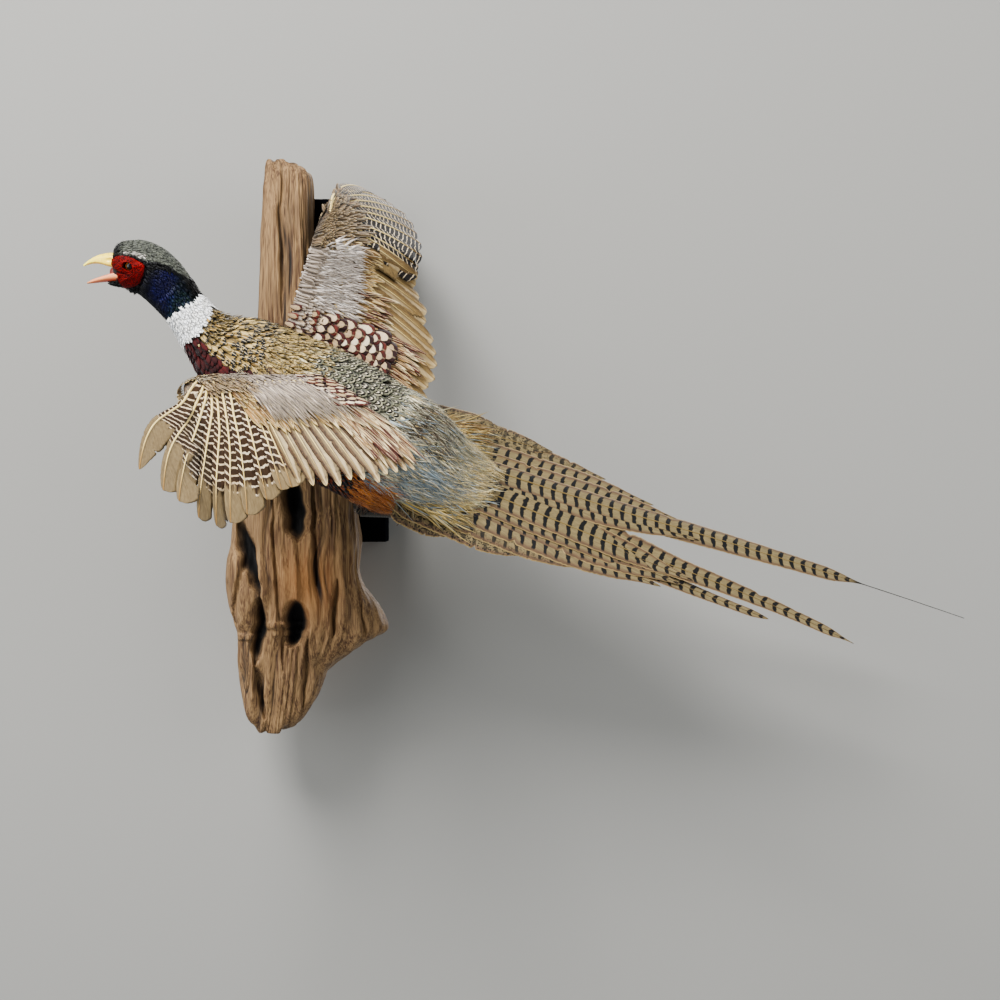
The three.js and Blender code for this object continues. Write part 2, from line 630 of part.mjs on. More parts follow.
for (const [side, sign] of [['left', -1], ['right', 1]]) {
  add(`${side}_eye`, eye(sign), 'eye_glass');
  add(`${side}_wattle`, cut(wattle(sign), [grownHead, ...eyes]), 'bare_skin');

  const surface = wingSurface(side);
  const primaries = partedPlaces(featherPlaces(0, PRIMARY_LENGTHS.length - 1, LEADING_VANE));
  const secondaries = partedPlaces(featherPlaces(PRIMARY_LENGTHS.length, FEATHER_COUNT - 1));
  const perFeather = (places) => places.filter((_, i) => i % 3 === 0);
  const hand = wingPlate(surface, perFeather(primaries), WING_ARM_PROFILE);
  const forearm = wingPlate(surface, perFeather(secondaries), WING_ARM_PROFILE);
  add(`${side}_hand`, cut(hand, grownBody), 'wing_feather');
  add(`${side}_forearm`, cut(forearm, grownBody), 'wing_feather');
  add(`${side}_primaries`, wingPlate(surface, primaries, WING_VANE_PROFILE), 'wing_feather');
  const secondaryVanes = wingPlate(surface, secondaries, WING_VANE_PROFILE);
  add(`${side}_secondaries`, cut(secondaryVanes, grownBody), 'wing_feather');
  add(`${side}_scapulars`, cut(scapularWeb(surface), grownBody), 'gold_plumage');

  const { thigh, shank, foot } = leg(LEGS[side]);
  add(`${side}_thigh`, cut(thigh, grownBody), 'dark_plumage');
  add(`${side}_shank`, shank, 'leg_scale');
  add(`${side}_foot`, foot, 'leg_scale');
}

add('tail_fan', cut(tailFan(), grownBody), 'tail_feather');
STREAMERS.forEach((feather, layer) => {
  add(feather.name, cut(streamer(feather, layer), [tailFan(GAP)]), 'tail_feather');
});

export default pheasant;
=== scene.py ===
"""Ring-necked pheasant cock, mounted in flight on a driftwood wall piece.

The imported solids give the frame. Here the flesh gets one skin under a coat of closed feathers laid in
overlapping rows along the lie of the plumage; the quills, tail, bill, eyes, feet and driftwood are
modelled one by one. All sizes in the tables are millimetres and degrees, and MM turns them to metres.
"""

import bmesh
import bpy
import numpy as np
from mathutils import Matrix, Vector
from mathutils.kdtree import KDTree


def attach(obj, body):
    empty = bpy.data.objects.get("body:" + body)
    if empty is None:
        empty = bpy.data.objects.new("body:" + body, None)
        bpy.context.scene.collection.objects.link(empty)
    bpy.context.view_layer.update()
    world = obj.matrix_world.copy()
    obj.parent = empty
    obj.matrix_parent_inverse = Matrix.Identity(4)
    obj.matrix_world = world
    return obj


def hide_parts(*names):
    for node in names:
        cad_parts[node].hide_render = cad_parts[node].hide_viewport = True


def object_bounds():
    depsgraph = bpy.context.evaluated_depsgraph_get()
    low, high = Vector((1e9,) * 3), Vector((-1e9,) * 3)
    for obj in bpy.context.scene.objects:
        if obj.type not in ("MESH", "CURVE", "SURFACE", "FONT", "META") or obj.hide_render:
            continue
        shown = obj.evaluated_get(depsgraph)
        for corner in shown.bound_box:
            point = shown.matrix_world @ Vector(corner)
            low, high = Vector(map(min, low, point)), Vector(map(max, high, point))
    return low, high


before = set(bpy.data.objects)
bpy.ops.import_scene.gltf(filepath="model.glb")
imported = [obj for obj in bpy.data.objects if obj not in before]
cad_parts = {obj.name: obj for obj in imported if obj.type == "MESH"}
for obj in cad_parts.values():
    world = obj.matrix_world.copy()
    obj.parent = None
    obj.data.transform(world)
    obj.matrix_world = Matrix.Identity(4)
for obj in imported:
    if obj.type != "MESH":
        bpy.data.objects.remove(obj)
CAD_BOX = [list(corner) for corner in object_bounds()]
MM = 0.001
BODY = "root"

# ---------------------------------------------------------------- the bird's own sizes, as in the solids

# One row for each station from the bill to the tail: place of the spine (x, y, z), half width, reach of
# the back, reach of the belly, and bank of the back away from upright.
STATIONS = np.array([
    [-172, -218, 77.5, 8, 13, 15, 14],
    [-167, -218, 77.5, 11, 18, 19.5, 14],
    [-157, -217, 78, 15.5, 22.5, 24.5, 14],
    [-145, -215, 76, 17.5, 24, 25, 15],
    [-133, -213, 68, 18.5, 23.5, 24, 16],
    [-121.5, -211, 56, 18.5, 21.5, 23, 18],
    [-112, -209, 43.5, 18.5, 19.5, 20.5, 20],
    [-103, -207, 30.5, 20, 22, 20.5, 22],
    [-93, -204, 16.5, 24.5, 27, 23, 24],
    [-77, -200, 3, 34, 37, 34, 25],
    [-50, -197, -12, 45, 45, 46, 26],
    [-14, -195, -33, 54, 52, 55, 28],
    [26, -194, -58, 57, 56, 60, 31],
    [66, -193, -81, 54, 54, 58, 35],
    [102, -190, -98, 45, 46, 48, 40],
    [134, -187, -110, 34, 23, 27, 44],
    [163, -184, -120, 21, 11, 13, 46],
    [182, -182, -127, 9, 5, 6, 46],
])
LAST_STATION = len(STATIONS) - 1
EYE = {"station": 2.14, "across": 12.8, "back": 0.4, "radius": 4.6}
# The wattle's middle (place along X and height over the spine), its thickness, and its rim as seen from
# the side: place tailwards and upwards of the middle.
WATTLE = {"middle": [-155.6, -3.8], "thick": 2.6, "sunk": 2.0}
WATTLE_RIM = np.array([
    [-10.9, 0.2], [-10.6, -4.8], [-10, -11.5], [-7, -16], [0.4, -15], [6.9, -11.1], [10.7, -4.1], [13.6, 4.8],
    [14.7, 11.9], [8.9, 11.1], [2.5, 12], [-3.3, 12.6], [-10, 12.2], [-15, 10.6], [-16, 7.4], [-15.5, 4],
])
WINGS = {
    "left": {
        "hand_end": [-91, -286, -49], "wrist": [-79, -246, -22], "shoulder": [-3, -237, -20],
        "upper": [0.44, -0.45, 0.777], "outward": [-0.077, -0.879, -0.47],
        "sweep": [0, 16, 30, 42, 49, 53, 54, 55, 56, 57, 58],
        "lift": [7, 2, -7, -7, -6, -6, -4, -2, 0, 1, 1], "bulge": 15, "turn": 1,
    },
    "right": {
        "hand_end": [16, -209, 127], "wrist": [3, -239, 90], "shoulder": [-22, -207, 28],
        "upper": [0.5, -0.36, 0.79], "outward": [0.07, 0.935, 0.35],
        "sweep": [5, 15, 26, 38, 43, 44, 52, 60, 68, 77, 82],
        "lift": [-1, 1, 2, 2, 0, -1, 0, -1, -1, -2, -3], "bulge": 3, "turn": -1,
    },
}
PRIMARY_LENGTHS = [160, 169, 176, 182, 178, 168, 160, 149, 141, 138]
SECONDARY_LENGTHS = [138, 144, 151, 148]
PRIMARIES = 10
PRIMARY_PLACES = [0.0, 1.25, 2.05, 3.1, 4.05, 5.0, 5.9, 7.3, 8.5, 9.2]
FLIGHTS = 24
SECONDARIES = 11
WRIST_PLACE = 9.5
INNER_PLACE = 23.5
FEATHER_CAMBER = 0.055
FEATHER_BOW = 0.07
BOWED_FEATHERS = 6
TAIL = {"root": [68, -190, -85], "along": [0.944, 0.06, -0.325], "bank": 48}
TAIL_DROOP = {"rate": 0.0015, "limit": 60}
# Tail feathers from the far edge to the near one: place across, length, angle, half width of the vane.
TAIL_FEATHERS = [
    [65, 98, 9, 11], [59, 148, 6, 12], [48, 203, 4.2, 13], [35, 252, 3.2, 13], [21, 292, 3.4, 13],
    [5, 300, 3.2, 13], [-5, 300, -4.2, 13], [-15, 290, -4, 13], [-26, 272, -3.8, 13],
    [-37, 216, -3, 13], [-46, 152, -4.5, 12], [-52, 84, -7, 11],
]
# Long feathers past the fan: place across, length, angle, half width, outward bend, layer.
STREAMERS = {
    "outer": [-15, 376, -3.4, 11, 0, 2], "left": [-3, 458, -3.9, 13, 0, 1], "right": [13, 566, 2.7, 12, 5, 0],
}
STREAMER_START = 230
STREAMER_SPACING = 2.2
LEGS = {
    "left": {"hip": [60, -200, -98], "ankle": [43, -180, -141], "foot": [102, -163, -145],
             "toes": [146, -159, -153]},
    "right": {"hip": [72, -158, -94], "ankle": [66, -140, -132], "foot": [124, -141, -148],
              "toes": [167, -144, -160]},
}
THIGH_RADII = [25, 19, 6]
WEB = {"front": 10.1, "rear": 12.4, "reach": 0.72}
WOOD_LEVELS = np.array([
    [203, -60, -40, -86], [196, -62, -23, -92], [180, -63, -14, -98], [120, -65, -14, -104],
    [40, -66, -10, -108], [-40, -72, 12, -114], [-110, -83, 30, -119], [-160, -90, 33, -121],
    [-205, -94, 37, -122], [-238, -89, 51, -120], [-257, -86, 59, -116], [-272, -87, 34, -112],
    [-295, -88, 4, -108], [-325, -80, -12, -102], [-347, -75, -30, -96], [-357, -68, -48, -90],
])
WOOD_REAR = -45.3
WOOD_SQUARENESS = 0.55

# ---------------------------------------------------------------- arithmetic on whole arrays


def smooth_curve(points, u):
    """Uniform Catmull-Rom curve at u in 0..1: the cubic whose slope at each point is half the step from
    its neighbour before to its neighbour after. Past the ends the neighbours are mirrored. A point may
    itself be an array with one place for each u, for as many curves side by side."""
    points = np.asarray(points, float)
    count = len(points) - 1
    padded = np.concatenate([2 * points[:1] - points[1:2], points, 2 * points[-1:] - points[-2:-1]])
    place = np.clip(np.asarray(u, float) * count, 0, count)
    index = np.minimum(place.astype(int), count - 1)
    w = (place - index)[..., None]
    own = np.ogrid[tuple(slice(n) for n in index.shape)] if points.ndim > 2 else ()
    before, here, there, after = (padded[(index + k, *own)] for k in range(4))
    leave, arrive = (there - before) / 2, (after - here) / 2
    return (here + leave * w + (3 * (there - here) - 2 * leave - arrive) * w**2
            + (2 * (here - there) + leave + arrive) * w**3)


def unit(vectors):
    """Vectors of length 1."""
    return vectors / np.maximum(np.linalg.norm(vectors, axis=-1, keepdims=True), 1e-12)


def lerp(a, b, share):
    """The value a share of the way from a to b."""
    return a + (b - a) * share


def through(values, place, low, high):
    """Straight lines through values spaced evenly from low to high, continued past both ends."""
    values = np.asarray(values, float)
    reach = (np.asarray(place, float) - low) / (high - low) * (len(values) - 1)
    index = np.clip(np.floor(reach).astype(int), 0, len(values) - 2)
    return lerp(values[index], values[index + 1], reach - index)


def rise_between(value, low, high):
    """0 below low, 1 above high, and the cubic 3w²-2w³ between them."""
    w = np.clip((np.asarray(value, float) - low) / (high - low), 0, 1)
    return w * w * (3 - 2 * w)


LATTICE = np.random.default_rng(3).random((256, 256))


def soft_noise(x, y, seed=0):
    """Smooth noise of 0..1: values on a square lattice, blended between its corners by 3w²-2w³."""
    x, y = np.asarray(x, float) + 17.3 * seed, np.asarray(y, float) + 31.7 * seed
    i, j = np.floor(x).astype(int), np.floor(y).astype(int)
    wx, wy = rise_between(x - i, 0, 1), rise_between(y - j, 0, 1)
    corner = lambda a, b: LATTICE[(i + a) % 256, (j + b) % 256]
    return lerp(lerp(corner(0, 0), corner(1, 0), wx), lerp(corner(0, 1), corner(1, 1), wx), wy)


def banked_frame(tailward, bank):
    """Axes about a direction that runs tailwards: the back leans out from upright by the bank."""
    along = unit(tailward)
    risen = unit(np.cross(along, [0.0, 1.0, 0.0]))
    outward = -np.cross(risen, along)
    angle = np.radians(bank)[..., None]
    back = np.cos(angle) * risen + np.sin(angle) * outward
    return along, back, np.cross(back, along)


def body_at(station):
    """Spine point, axes and section sizes at a station, in millimetres."""
    u = np.asarray(station, float) / LAST_STATION
    rows = smooth_curve(STATIONS, u)
    probe = 1e-4
    ahead, behind = (smooth_curve(STATIONS[:, :3], np.clip(u + d, 0, 1)) for d in (probe, -probe))
    along, back, right = banked_frame(ahead - behind, rows[..., 6])
    return rows[..., :3], along, back, right, rows[..., 3:6]


def station_at(x):
    """Station whose spine point lies at a place along X."""
    return np.interp(x, STATIONS[:, 0], np.arange(len(STATIONS)))


def body_surface(station, angle):
    """Half ellipses towards the back and the belly on one width; the angle is 0 at the right side, 90 at
    the back, 180 at the left side and -90 at the belly."""
    station, angle = np.broadcast_arrays(station, np.radians(angle))
    centre, _, back, right, sizes = body_at(station)
    reach = np.where(np.sin(angle) > 0, sizes[..., 1], sizes[..., 2])
    return (centre + right * (sizes[..., 0] * np.cos(angle))[..., None]
            + back * (reach * np.sin(angle))[..., None]) * MM


def feather_length(place):
    """Length of the flight feather at a place: straight lines through both tables."""
    place = np.asarray(place, float)
    last = PRIMARIES - 1
    return np.where(place < last, through(PRIMARY_LENGTHS, place, 0, last),
                    through(SECONDARY_LENGTHS, place, last, FLIGHTS - 1))


def wing_axes(side):
    """Upwards, outwards and backwards from the wing's sheet, square to one another."""
    wing = WINGS[side]
    upper = unit(np.array(wing["upper"], float))
    outward = np.array(wing["outward"], float)
    outward = unit(outward - upper * (outward @ upper))
    return upper, outward, np.cross(upper, outward) * wing["turn"]


def wing_surface(side):
    """The spread wing: a leading edge through hand, wrist and shoulder, from which each feather leaves at
    its own sweep and lift and arches by 4t(1-t) of its camber; the outermost also bow forwards."""
    wing = WINGS[side]
    upper, outward, backward = wing_axes(side)
    tip, wrist, inner = (np.array(wing[k], float) for k in ("hand_end", "wrist", "shoulder"))
    edge = [tip, (tip + wrist) / 2 - wing["bulge"] * backward, wrist, (wrist + inner) / 2, inner]

    def surface(t, place):
        t, place = np.broadcast_arrays(np.asarray(t, float), np.asarray(place, float))
        on_arm = 1 + (place - WRIST_PLACE) / (INNER_PLACE - WRIST_PLACE)
        u = np.where(place < WRIST_PLACE, place / WRIST_PLACE, on_arm) / 2
        sweep = np.radians(through(wing["sweep"], place, 0, INNER_PLACE))
        lift = np.radians(through(wing["lift"], place, 0, INNER_PLACE))
        length = feather_length(place)
        arch = 4 * t * (1 - t) * length
        bow = FEATHER_BOW * np.clip(1 - place / BOWED_FEATHERS, 0, 1)
        out = np.cos(lift) * np.cos(sweep) * length * t
        rear = np.cos(lift) * np.sin(sweep) * length * t - bow * arch
        rise = np.sin(lift) * length * t + FEATHER_CAMBER * arch
        point = smooth_curve(edge, np.clip(u, 0, 1))
        return (point + outward * out[..., None] + backward * rear[..., None]
                + upper * rise[..., None]) * MM

    return surface


TAIL_AXES = banked_frame(np.array(TAIL["along"], float), np.array(float(TAIL["bank"])))


def tail_surface(distance, across, angle=0.0, height=0.0):
    """The tail's sheet: straight lines along the tail that fan by their angle, over a roof whose sides
    fall with the square of their reach."""
    along, back, right = TAIL_AXES
    distance, across, angle, height = np.broadcast_arrays(distance, across, np.radians(angle), height)
    reach = across + distance * np.sin(angle)
    drop = TAIL_DROOP["rate"] * np.minimum(np.abs(reach), TAIL_DROOP["limit"]) ** 2
    return (np.array(TAIL["root"], float) + right * reach[..., None] + back * (height - drop)[..., None]
            + along * (distance * np.cos(angle))[..., None]) * MM


# ---------------------------------------------------------------- meshes from arrays

def faces_of(quads, others=()):
    """Loop corners and loop starts of quads (n, 4) and other polygons, one after another."""
    corners = [np.asarray(quads, int).reshape(-1), *(np.asarray(polygon, int) for polygon in others)]
    sizes = np.array([4] * len(quads) + [len(polygon) for polygon in others])
    return np.concatenate(corners), np.concatenate([[0], np.cumsum(sizes)[:-1]])


def grid_faces(rows, columns, around=False, flip=False):
    """Quads between neighbouring rows and columns; around joins the last column to the first."""
    i = np.arange(rows - 1)[:, None] * columns
    j = np.arange(columns if around else columns - 1)[None, :]
    k = (j + 1) % columns
    quads = np.stack([i + j, i + k, i + columns + k, i + columns + j], -1).reshape(-1, 4)
    return quads[:, ::-1] if flip else quads


def tube_faces(rows, columns):
    """Faces of a tube with one polygon over each end."""
    ring = np.arange(columns)
    return faces_of(grid_faces(rows, columns, around=True), [ring[::-1], ring + (rows - 1) * columns])


def slab_faces(rows, columns):
    """Faces of a closed plate: an upper grid, a lower one, strips along both sides, and both ends."""
    size = rows * columns
    k, j = np.arange(rows - 1) * columns, np.arange(columns)
    left = np.stack([k, k + columns, k + columns + size, k + size], -1)
    right = left[:, [0, 3, 2, 1]] + columns - 1
    root = np.concatenate([j[::-1], j + size])
    tip = np.concatenate([j, j[::-1] + size]) + (rows - 1) * columns
    return faces_of(np.vstack([grid_faces(rows, columns), grid_faces(rows, columns, flip=True) + size,
                               left, right]), [root, tip])


def joined(bodies):
    """Points, corners and starts of several bodies, put together as those of one mesh."""
    parts, before, loops = [], 0, 0
    for points, corners, starts in bodies:
        parts.append((points, corners + before, starts + loops))
        before, loops = before + len(points), loops + len(corners)
    return [np.concatenate(part) for part in zip(*parts)]


def add_mesh(name, points, corners, starts, material, flat=None, maps=(), colours=(), smooth=True):
    """A piece with its place in its mesh. Maps and colours are given for each point."""
    points = np.ascontiguousarray(points, dtype=np.float32).reshape(-1, 3)
    mesh = bpy.data.meshes.new(name)
    mesh.vertices.add(len(points))
    mesh.vertices.foreach_set("co", points.reshape(-1))
    mesh.loops.add(len(corners))
    mesh.loops.foreach_set("vertex_index", corners.astype(np.int32))
    mesh.polygons.add(len(starts))
    mesh.polygons.foreach_set("loop_start", starts.astype(np.int32))
    mesh.polygons.foreach_set("use_smooth", np.full(len(starts), smooth) if flat is None else ~flat)
    mesh.update(calc_edges=True)
    for key, values in dict(maps).items():
        layer = mesh.uv_layers.new(name=key)
        layer.uv.foreach_set("vector", values.reshape(-1, 2)[corners].astype(np.float32).reshape(-1))
    for key, values in dict(colours).items():
        colour_points(mesh, key, values.reshape(len(points), -1))
    mesh.validate()
    mesh.materials.append(material)
    return place_piece(name, mesh)


def colour_points(mesh, key, values):
    """Stores up to four values for each point as a colour; what is missing is 1."""
    padded = np.ones((len(values), 4), np.float32)
    padded[:, : values.shape[1]] = values
    mesh.attributes.new(key, "FLOAT_COLOR", "POINT").data.foreach_set("color", padded.reshape(-1))


def place_piece(name, data):
    """An object for a mesh, a light or a camera, put in the scene."""
    piece = bpy.data.objects.new(name, data)
    bpy.context.scene.collection.objects.link(piece)
    return piece


def fit_out(piece, slot, *nodes):
    """Rides the piece and hides the solids that it stands for; the slot is not used."""
    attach(piece, BODY)
    if nodes:
        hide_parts(*nodes)
    return piece


def make_outward(piece):
    """Turns every face of a closed piece outwards: if the signed volume is negative, all are flipped."""
    mesh = piece.data
    mesh.calc_loop_triangles()
    corners = np.empty(len(mesh.loop_triangles) * 3, np.int32)
    mesh.loop_triangles.foreach_get("vertices", corners)
    points = np.empty(len(mesh.vertices) * 3, np.float32)
    mesh.vertices.foreach_get("co", points)
    a, b, c = points.reshape(-1, 3)[corners.reshape(-1, 3)].astype(float).transpose(1, 0, 2)
    if (a * np.cross(b, c)).sum() < 0:
        mesh.flip_normals()
    return piece


def weld(piece):
    """Joins the points at the poles and drops the faces that close up there."""
    mesh = bmesh.new()
    mesh.from_mesh(piece.data)
    bmesh.ops.remove_doubles(mesh, verts=mesh.verts, dist=1e-7)
    bmesh.ops.recalc_face_normals(mesh, faces=mesh.faces)
    mesh.to_mesh(piece.data)
    mesh.free()
    return piece


def tree_of(points):
    """Search tree over points."""
    tree = KDTree(len(points))
    for index, point in enumerate(points):
        tree.insert(point, index)
    tree.balance()
    return tree


# Width of a feather along its length, as rows of share of the length and share of the full width.
OUTLINES = {
    "round": ([0, 0.3, 0.6, 0.82, 0.95, 1], [0.45, 0.8, 1, 0.9, 0.55, 0.16]),
    "blunt": ([0, 0.35, 0.7, 0.9, 0.98, 1], [0.5, 0.85, 1, 0.92, 0.6, 0.3]),
    "leaf": ([0, 0.25, 0.55, 0.8, 0.93, 1], [0.4, 0.8, 1, 0.75, 0.4, 0.08]),
    "scale": ([0, 0.5, 0.85, 1], [0.6, 1, 0.75, 0.15]),
    "strand": ([0, 0.35, 0.7, 1], [0.8, 1, 0.75, 0.12]),
}
PROBE = 1e-3


def feather_faces(rows, columns):
    """Faces of one closed feather: the upper grid, one strip beneath from edge to edge, and both ends."""
    quads = grid_faces(rows, columns)
    left, across = np.arange(rows) * columns, np.arange(columns)
    right = left + columns - 1
    under = np.stack([left[:-1], left[1:], right[1:], right[:-1]], -1)
    corners, starts = faces_of(np.vstack([quads, under]), [across[::-1], across + (rows - 1) * columns])
    return corners, starts, np.arange(len(starts)) >= len(quads)


def lay_feathers(surface, roots, length, width, low, high, outline="round", columns=3, turn=0.0, arch=0.1,
                 flip=1, curl=0.0, sway=0.0, least=(1e-5, 1e-5)):
    """Points of closed feathers on a surface of two parameters, the first of which runs with the lie.

    A feather's point at share v of its length and share a across it lies at its root moved by v·length
    along the lie and a·half width·outline(v) across it, both turned by the turn, and stands off the
    surface by low + (high-low)·v^0.7, by arch·half width·(1-a²) for its ridge and by curl·v³. Feathers
    that the surface's edge stretches or folds are left out."""
    v, wide = (np.array(row, float) for row in OUTLINES[outline])
    a = np.linspace(-1, 1, columns)
    count = len(roots)
    spread = lambda value: np.broadcast_to(np.asarray(value, float), (count,))[:, None, None]
    distance = lambda first, last: np.linalg.norm(first - last, axis=-1)
    p, q = roots[:, 0], roots[:, 1]
    here, v_row = surface(p, q), v[None, :, None]
    pace = np.maximum(distance(surface(p + PROBE, q), here) / PROBE, least[0])[:, None, None]
    stride = np.maximum(distance(surface(p, q + PROBE), here) / PROBE, least[1])[:, None, None]
    forward = spread(length) * v_row * np.ones_like(a)
    half = spread(width) / 2 * wide[None, :, None]
    across = half * a + spread(sway) * v_row**2
    cosine, sine = np.cos(spread(turn)), np.sin(spread(turn))
    rows_p = p[:, None, None] + (forward * cosine - across * sine) / pace
    rows_q = q[:, None, None] + (forward * sine + across * cosine) / stride
    points = surface(rows_p, rows_q)
    normal = unit(np.cross(surface(rows_p + 2e-4 / pace, rows_q) - points,
                           surface(rows_p, rows_q + 2e-4 / stride) - points)) * flip
    lifted = (spread(low) + (spread(high) - spread(low)) * v_row**0.7 + spread(arch) * half * (1 - a**2)
              + spread(curl) * v_row**3)
    points = points + normal * lifted[..., None]
    middle = points[:, :, columns // 2]
    reach = distance(middle[:, -1], middle[:, 0]) / np.broadcast_to(length, (count,))
    broad = distance(points[:, :, -1], points[:, :, 0]).max(1) / np.broadcast_to(width, (count,))
    fair = (reach > 0.35) & (reach < 1.6) & (broad < 1.8) & (broad > 0.3)
    return points[fair], v, a, fair


def travelled(line):
    """Distance gone at each point of a line."""
    return np.concatenate([[0], np.cumsum(np.linalg.norm(np.diff(line, axis=0), axis=1))])


def spaced_roots(surface, p_range, q_range, step_p, step_q, rng, jitter=0.35, samples=60):
    """Roots in staggered rows: rows stand step_p millimetres apart along the lie, and each holds as many
    roots as its own length has steps of step_q. Every root then moves by up to the jitter of a step."""
    step_p, step_q = step_p * MM, step_q * MM
    p, q = np.linspace(*p_range, samples), np.linspace(*q_range, samples)
    length = travelled(surface(p, np.full(samples, sum(q_range) / 2)))
    rows = np.interp(np.arange(step_p / 2, length[-1], step_p), length, p)
    next_row = (p_range[1] - p_range[0]) * step_p / length[-1]
    found = []
    for index, row in enumerate(rows):
        reach = travelled(surface(np.full(samples, row), q))
        places = np.arange(step_q * (0.25 + 0.5 * (index % 2)), reach[-1], step_q)
        places = places + rng.uniform(-jitter, jitter, len(places)) * step_q
        spots = np.interp(places, reach, q)
        found.append(np.stack([row + rng.uniform(-jitter, jitter, len(spots)) * next_row, spots], -1))
    return np.concatenate(found)


SKIN_SPOTS = []  # root points and colours of the coat, from which the skin takes its markings


class Coat:
    """Feathers gathered for one piece: bodies, the feathers' own map, the bake's map and colours."""

    def __init__(self, name, finish, slot):
        self.name, self.finish, self.slot = name, finish, slot
        self.bodies, self.layers = [], []

    def add(self, surface, roots, patch, tint, mark=None, rim=None, zones=(2, 3, 0.25),
            tick=(0.5, 0, 0), **lay):
        """Lays feathers at the roots. The patch gives the surface's own ranges for the unwrap. Tint, mark
        and rim are the feathers' colours; zones are where the middle ends and where the band ends, as
        shares of the feather's outline, and how strong the shaft is; tick is where a dark spot lies along
        the feather, and its half width and half length."""
        if not len(roots):
            return
        points, v, a, fair = lay_feathers(surface, roots, **lay)
        count, rows, columns = points.shape[:3]
        each = lambda value: np.broadcast_to(np.asarray(value, float), (len(fair), 3))[fair]
        tint, mark, rim, zones, tick = (each(tint if value is None else value)
                                        for value in (tint, mark, rim, zones, tick))
        widen = lambda value: np.repeat(value, rows * columns, axis=0)
        corners, starts, flat = feather_faces(rows, columns)
        order = np.arange(count)[:, None]
        loops = (corners + order * rows * columns).reshape(-1)
        self.bodies.append((points.reshape(-1, 3), loops, (starts + order * len(corners)).reshape(-1)))
        own = np.stack(np.broadcast_arrays(a / 2 + 0.5, v[:, None]), -1)
        low, high = np.array(patch, float).T
        unwrap = 0.01 + 0.98 * np.clip((roots[fair] - low) / (high - low), 0, 1)
        bake = unwrap[:, None, None, :] + 0.003 * (own - 0.5)
        chance = np.random.default_rng(count).random((count, 1))
        self.layers.append((np.tile(flat, count), np.tile(own.reshape(-1, 2), (count, 1)), bake.reshape(-1, 2),
                            widen(tint), widen(mark), widen(rim), widen(np.hstack([zones, chance])),
                            widen(tick)))
        SKIN_SPOTS.append((surface(*roots[fair].T), tint))

    def on_body(self, roots, patch, tint, **lay):
        """Lays feathers on the body with their roots on the skin."""
        self.add(body_surface, roots, patch, tint,
                 **{"low": -coat_depth(roots[:, 0]), "flip": BODY_FLIP, **lay})

    def build(self, *nodes):
        """Joins all the feathers laid so far in one piece."""
        flat, vane, bake, *colours = (np.concatenate(layer) for layer in zip(*self.layers))
        piece = add_mesh(self.name, *joined(self.bodies), FINISH[self.finish], flat,
                         {"vane": vane, "OFBake": bake},
                         dict(zip(("tint", "mark", "rim", "zones", "tick"), colours)))
        return fit_out(piece, self.slot, *nodes)


# ---------------------------------------------------------------- finishes

DEEPENED = 2.0


def paint(code):
    """Linear colour of a six-digit code, deepened to hold its strength under broad soft light."""
    value = np.array([int(code[k:k + 2], 16) for k in (0, 2, 4)]) / 255
    return np.where(value <= 0.04045, value / 12.92, ((value + 0.055) / 1.055) ** 2.4) ** DEEPENED


def feed(tree, node, inputs):
    """Links a value to an input, or sets the input to a number, a vector or a colour's code."""
    for key, value in inputs.items():
        if isinstance(value, Value):
            tree.links.new(value.socket, node.inputs[key])
        else:
            node.inputs[key].default_value = (*paint(value), 1.0) if isinstance(value, str) else value


def reckoning(operation):
    """An operator that adds a Math node."""
    def reckon(self, *other):
        node = self.tree.nodes.new("ShaderNodeMath")
        node.operation = operation
        feed(self.tree, node, dict(enumerate((self, *other))))
        return Value(self.tree, node.outputs[0])
    return reckon


class Value:
    """A node's output. Arithmetic on it adds Math nodes, so that a formula reads as one."""

    def __init__(self, tree, socket):
        self.tree, self.socket = tree, socket

    __add__, __mul__, __pow__ = reckoning("ADD"), reckoning("MULTIPLY"), reckoning("POWER")
    __sub__, __truediv__, __abs__ = reckoning("SUBTRACT"), reckoning("DIVIDE"), reckoning("ABSOLUTE")
    fraction, root = reckoning("FRACT"), reckoning("SQRT")
    at_least, at_most = reckoning("MAXIMUM"), reckoning("MINIMUM")


